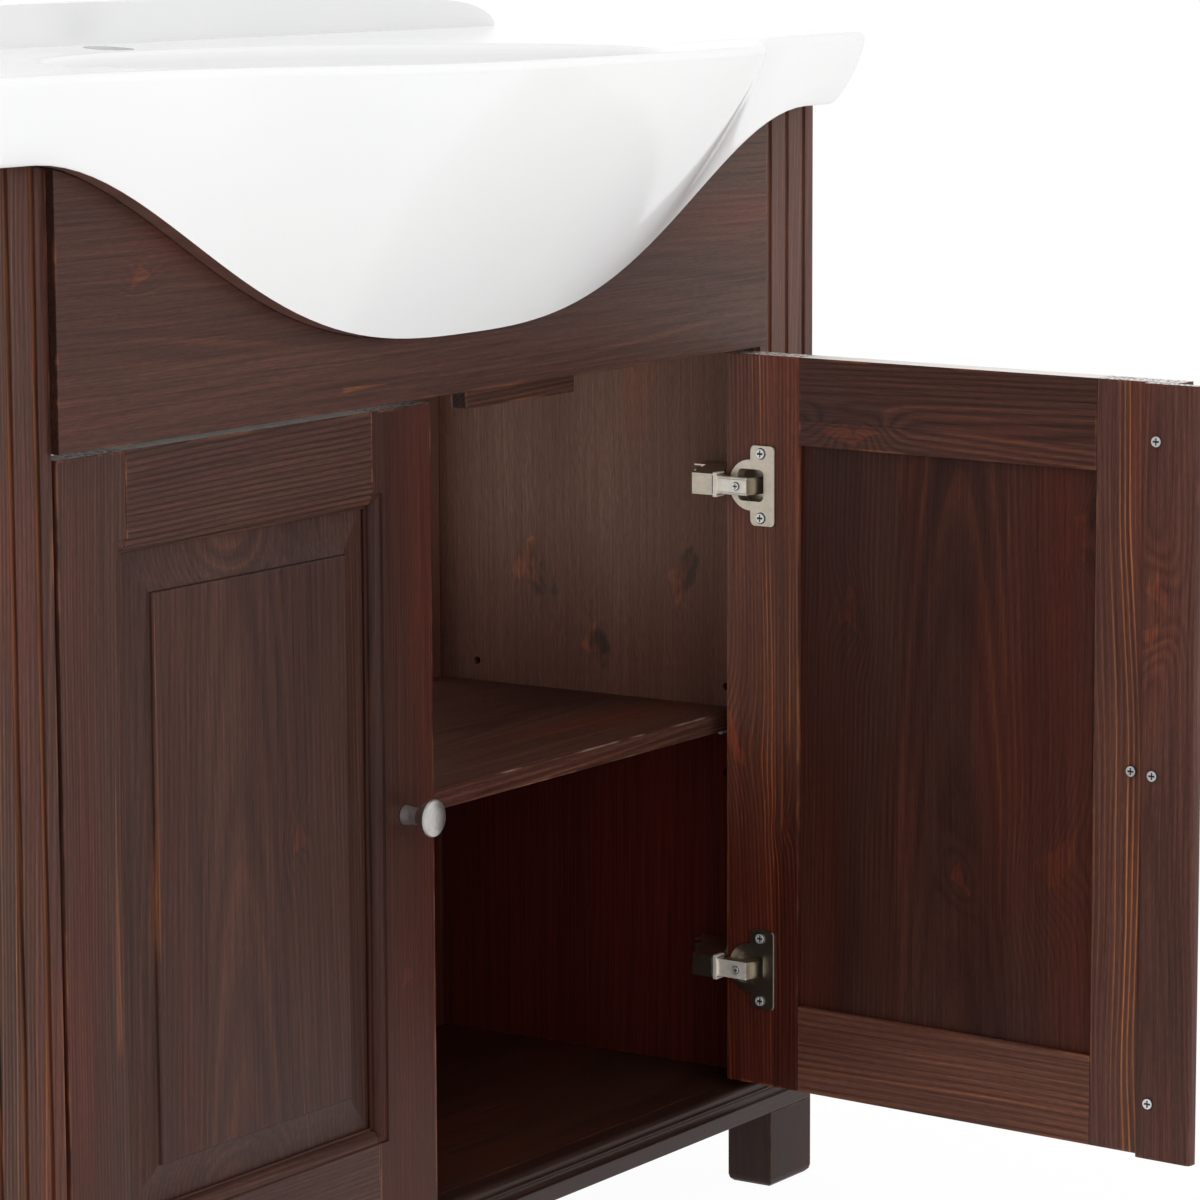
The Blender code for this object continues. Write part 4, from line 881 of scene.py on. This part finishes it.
class Fitting:
    """Small part built from straight prisms in (u, v, z), on the left or right of the opening."""

    def __init__(self, side, turned):
        self.shape = bmesh.new()
        self.sign = -1 if side == "left" else 1
        self.move = SHUT.inverted() if turned else Matrix.Identity(4)

    def place(self, u, v, z):
        """Place in the frame at rest."""
        return self.move @ Vector((self.sign * (HALF_OPENING - u), v + FRONT_Y, z))

    def prism(self, plan, outline, low, high, holes=(), finish=0):
        """Prism with holes; plan names the outline's two axes, and low and high lie on the third."""
        order = ["uvz".index(letter) for letter in plan]
        order.append(3 - sum(order))
        rings = [outline, *holes]
        layers = []
        for level in (low, high):
            layer = []
            for point in [point for ring in rings for point in ring]:
                values = [0.0, 0.0, 0.0]
                for axis, value in zip(order, (*point, level)):
                    values[axis] = value
                layer.append(self.shape.verts.new(self.place(*values)))
            layers.append(layer)
        flat = tessellate_polygon([[Vector((a, b, 0.0)) for a, b in ring] for ring in rings])
        faces = [[layer[index] for index in triangle] for layer in layers for triangle in flat]
        first = 0
        for ring in rings:
            for step in range(len(ring)):
                near, far = first + step, first + (step + 1) % len(ring)
                faces.append([layers[0][near], layers[0][far], layers[1][far], layers[1][near]])
            first += len(ring)
        for corners in faces:
            self.shape.faces.new(corners).material_index = finish

    def screw(self, u, z, base_v, radius, finish=0):
        """Screw head with a cross recess, facing into the cabinet; its rim and the floor of the recess have
        the next finish, a dark painted shade.
        """
        edge = circle((u, z), radius, HEAD_POINTS)
        crown = circle((u, z), radius * CROWN_SHARE, HEAD_POINTS)
        recess = cross((u, z), radius * RECESS_REACH, radius * RECESS_WIDTH)
        self.prism("uz", edge, base_v, base_v + HEAD_RIM_T, finish=finish + 1)
        self.prism("uz", crown, base_v + HEAD_RIM_T, base_v + HEAD_T, [recess], finish)

    def finish(self, name, body, slot, materials):
        """Object of the prisms so far."""
        bmesh.ops.recalc_face_normals(self.shape, faces=self.shape.faces)
        return add_piece(name, self.shape, body, materials)


def back_stile(side):
    """Upright at one side of the open back, between the panel and the rail."""
    stile = Fitting(side, False)
    stile.prism("uv", rounded(BACK_STILE_U, BACK_V, BACK_STILE_ROUND), *BACK_STILE_Z)
    lining = NODES[f"{side}_side_lining"].active_material
    stile.finish(f"back_{side}_stile", "cabinet", "stained_pine", [lining])


def hinge_arm(side, name, z):
    """Sheet-steel arm in the cabinet, with a collar at its tip."""
    arm = Fitting(side, False)
    hug = circle((AXIS_U, AXIS_V), HUG_R, HUG_POINTS, HUG_START, HUG_TURN)
    heel = [*ARM_FOOT, (ARM_OUTER_U, ARM_SHOULDER_V)]
    plan = [(ARM_OUTER_U, ARM_TIP_V), *hug, *heel]
    arm.prism("uv", plan, z - ARM_HALF_H, z - ARM_HALF_H + SHEET)
    arm.prism("uv", plan, z + ARM_HALF_H - SHEET, z + ARM_HALF_H)
    web = square((ARM_OUTER_U - SHEET, ARM_OUTER_U), (WEB_TIP_V, ARM_SHOULDER_V))
    arm.prism("uv", web, *span(z, ARM_HALF_H - SHEET))
    arm.prism("uv", heel, *span(z, ARM_FOOT_HALF_H))
    arm.prism("uv", square(COLLAR_U, COLLAR_V), *span(z, COLLAR_HALF_H), finish=1)
    piece = arm.finish(name + "_arm_sheet", "cabinet", "nickel_plated_steel", [NICKEL, NICKEL_PAINTED_SHEEN])
    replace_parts(piece, name + "_arm")


def hinge_face(side, name, z):
    """The cup's flange, the link and their screws on the door."""
    face = Fitting(side, side == "right")
    bottom, top = span(z, FLANGE_HALF_H)
    plate = rounded(FLANGE_U, (bottom, top), FLANGE_ROUND)
    outline = [point for point in plate if point[0] > sum(FLANGE_U) / 2]
    outline += [(FLANGE_U[0] + FLANGE_ROUND, top), (FLANGE_U[0], top - FLANGE_ROUND)]
    outline += circle((CUP_U, z), CUP_R, CUP_POINTS, 90.0, 180.0)
    outline += [(FLANGE_U[0], bottom + FLANGE_ROUND), (FLANGE_U[0] + FLANGE_ROUND, bottom)]
    face.prism("uz", outline, *FLANGE_V, [rounded(MOUTH_U, span(z, MOUTH_HALF_H), MOUTH_ROUND)])
    face.prism("uz", square(LINK_U, span(z, LINK_HALF_H)), *LINK_V, finish=3)
    for up in (-1, 1):
        edge = circle((LINK_EDGE_V, z + up * LINK_EDGE_RISE), LINK_EDGE_R, LINK_EDGE_POINTS)
        face.prism("vz", edge, *LINK_U, finish=3)
        face.prism("uv", LINK_CHEEK, *[z + up * rise for rise in LINK_CHEEK_RISE])
    face.prism("uv", LINK_SLOPE, *span(z, LINK_SLOPE_HALF_H))
    face.screw(LINK_SCREW_U, z, LINK_V[1], LINK_SCREW_R, 1)
    for up in (-1, 1):
        face.screw(FLANGE_SCREW_U, z + up * FLANGE_SCREW_RISE, FLANGE_V[1], FLANGE_SCREW_R, 1)
    face.finish(name + "_face", side + "_door", "nickel_plated_steel", [NICKEL, ZINC, RECESS_PAINTED_SHADE, NICKEL_PAINTED_SHEEN])


def dress_hinge(side, place):
    """Arm in the cabinet and face on the door of one hinge."""
    name = f"{side}_{place}_hinge"
    low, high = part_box(name + "_arm")
    z = (low[2] + high[2]) / 2
    hinge_arm(side, name, z)
    hinge_face(side, name, z)


def dress_screw(node, turned):
    """Cross-headed screw in place of a plain one."""
    low, high = shut_box(node, turned)
    side = "right" if turned else "left"
    screw = Fitting(side, turned)
    u = HALF_OPENING - abs(low.x + high.x) / 2
    z = (low.z + high.z) / 2
    radius = (high.z - low.z) / 2
    top_v = high.y - FRONT_Y
    shank = circle((u, z), radius * SHANK_SHARE, SHANK_POINTS)
    screw.prism("uz", shank, low.y - FRONT_Y, top_v - SHANK_SINK)
    screw.screw(u, z, top_v - HEAD_T, radius)
    piece = screw.finish(node + "_crosshead", side + "_door", "zinc_plated_steel", [ZINC, RECESS_PAINTED_SHADE])
    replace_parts(piece, node)


for side in ("left", "right"):
    for place in ("upper", "lower"):
        dress_hinge(side, place)
    dress_screw(side + "_knob_screw", side == "right")
    back_stile(side)
for place in ("upper", "middle", "lower"):
    dress_screw("strip_screw_" + place, True)


# Studio

WHITE = (1.0, 1.0, 1.0, 1.0)
FLOOR_REACH = 14.0
FLOOR_DROP = 0.0003
FLOOR_PAINT = (0.92, 0.92, 0.92, 1.0)
FLOOR_ROUGH = 0.9
FLOOR_GLOSS = 0.1
FLOOR_GLOW = 0.27
FLOOR_SEEN_WHITE = 0.95
ROOM_LIGHT = 0.80
LAMP_SIZE = 1.6
LAMP_AIM = Vector((0.1, 0.0, 0.5))
LAMPS = (("key", (-1.2, -2.7, 1.2), 9.5), ("top_fill", (-0.6, -0.2, 3.2), 15.0),
         ("right_fill", (1.9, -2.8, 0.8), 5.0))


def seen_straight(nodes, links):
    """1 for rays from the camera, reflections or glass, and 0 for light that falls on things."""
    path = nodes.new("ShaderNodeLightPath").outputs
    most = path["Is Camera Ray"]
    for name in ("Is Glossy Ray", "Is Transmission Ray"):
        larger = nodes.new("ShaderNodeMath")
        larger.operation = "MAXIMUM"
        links.new(most, larger.inputs[0])
        links.new(path[name], larger.inputs[1])
        most = larger.outputs[0]
    return most


def floor():
    """Pale floor that looks white and throws a little light back up."""
    mesh = bpy.data.meshes.new("floor")
    corners = square((-FLOOR_REACH, FLOOR_REACH), (-FLOOR_REACH, FLOOR_REACH))
    mesh.from_pydata([(x, y, 0) for x, y in corners], [], [(0, 1, 2, 3)])
    ground = bpy.data.objects.new("floor", mesh)
    ground.location.z = -FLOOR_DROP
    bpy.context.scene.collection.objects.link(ground)
    tree = Tree("floor_paint")
    tree.set(Base_Color=FLOOR_PAINT, Roughness=FLOOR_ROUGH, Specular_IOR_Level=FLOOR_GLOSS,
             Emission_Color=WHITE, Emission_Strength=FLOOR_GLOW)
    mix = tree.node("MixShader")
    tree.feed(mix.inputs[0], tree.math("MULTIPLY", seen_straight(tree.nodes, tree.links), FLOOR_SEEN_WHITE))
    tree.feed(mix.inputs[1], tree.shader.outputs[0])
    tree.feed(mix.inputs[2], tree.node("Emission", None, Color=WHITE, Strength=1.0).outputs[0])
    tree.feed(tree.nodes["Material Output"].inputs["Surface"], mix.outputs[0])
    mesh.materials.append(tree.material)


def room():
    """White room: full white where it is seen, weaker as light."""
    world = bpy.data.worlds.new("studio")
    bpy.context.scene.world = world
    world.use_nodes = True
    nodes, links = world.node_tree.nodes, world.node_tree.links
    light, backdrop = nodes["Background"], nodes.new("ShaderNodeBackground")
    for shader, strength in ((light, ROOM_LIGHT), (backdrop, 1.0)):
        shader.inputs["Color"].default_value = WHITE
        shader.inputs["Strength"].default_value = strength
    mix = nodes.new("ShaderNodeMixShader")
    links.new(seen_straight(nodes, links), mix.inputs[0])
    links.new(light.outputs[0], mix.inputs[1])
    links.new(backdrop.outputs[0], mix.inputs[2])
    links.new(mix.outputs[0], nodes["World Output"].inputs["Surface"])


def lamps():
    """Soft key lamp from the front left, with fills from above and from the right."""
    for name, place, power in LAMPS:
        lamp = bpy.data.lights.new(name, "AREA")
        lamp.shape = "SQUARE"
        lamp.size = LAMP_SIZE
        lamp.energy = power
        light = bpy.data.objects.new(name, lamp)
        light.location = place
        light.visible_glossy = False
        light.rotation_euler = (LAMP_AIM - Vector(place)).to_track_quat("-Z", "Y").to_euler()
        bpy.context.scene.collection.objects.link(light)


SENSOR = 36.0
LENS = 143.03
FAR = 100.0
EYE = (-2.5120, -1.8017 + FRONT_Y, 0.9551)
YAW = math.radians(33.76)
PITCH = math.radians(8.52)
ROLL = math.radians(-0.23)


def camera():
    """Long lens at the front left, a little above the rim, framed on the right half."""
    data = bpy.data.cameras.new("camera")
    data.sensor_width = SENSOR
    data.lens = LENS
    data.clip_end = FAR
    view = bpy.data.objects.new("camera", data)
    ahead = Vector((math.cos(YAW) * math.cos(PITCH), math.sin(YAW) * math.cos(PITCH), -math.sin(PITCH)))
    view.location = EYE
    view.rotation_euler = (ahead.to_track_quat("-Z", "Y") @ Quaternion((0.0, 0.0, 1.0), ROLL)).to_euler()
    bpy.context.scene.collection.objects.link(view)
    bpy.context.scene.camera = view


floor()
room()
lamps()
camera()
bpy.context.scene.view_settings.view_transform = "Standard"
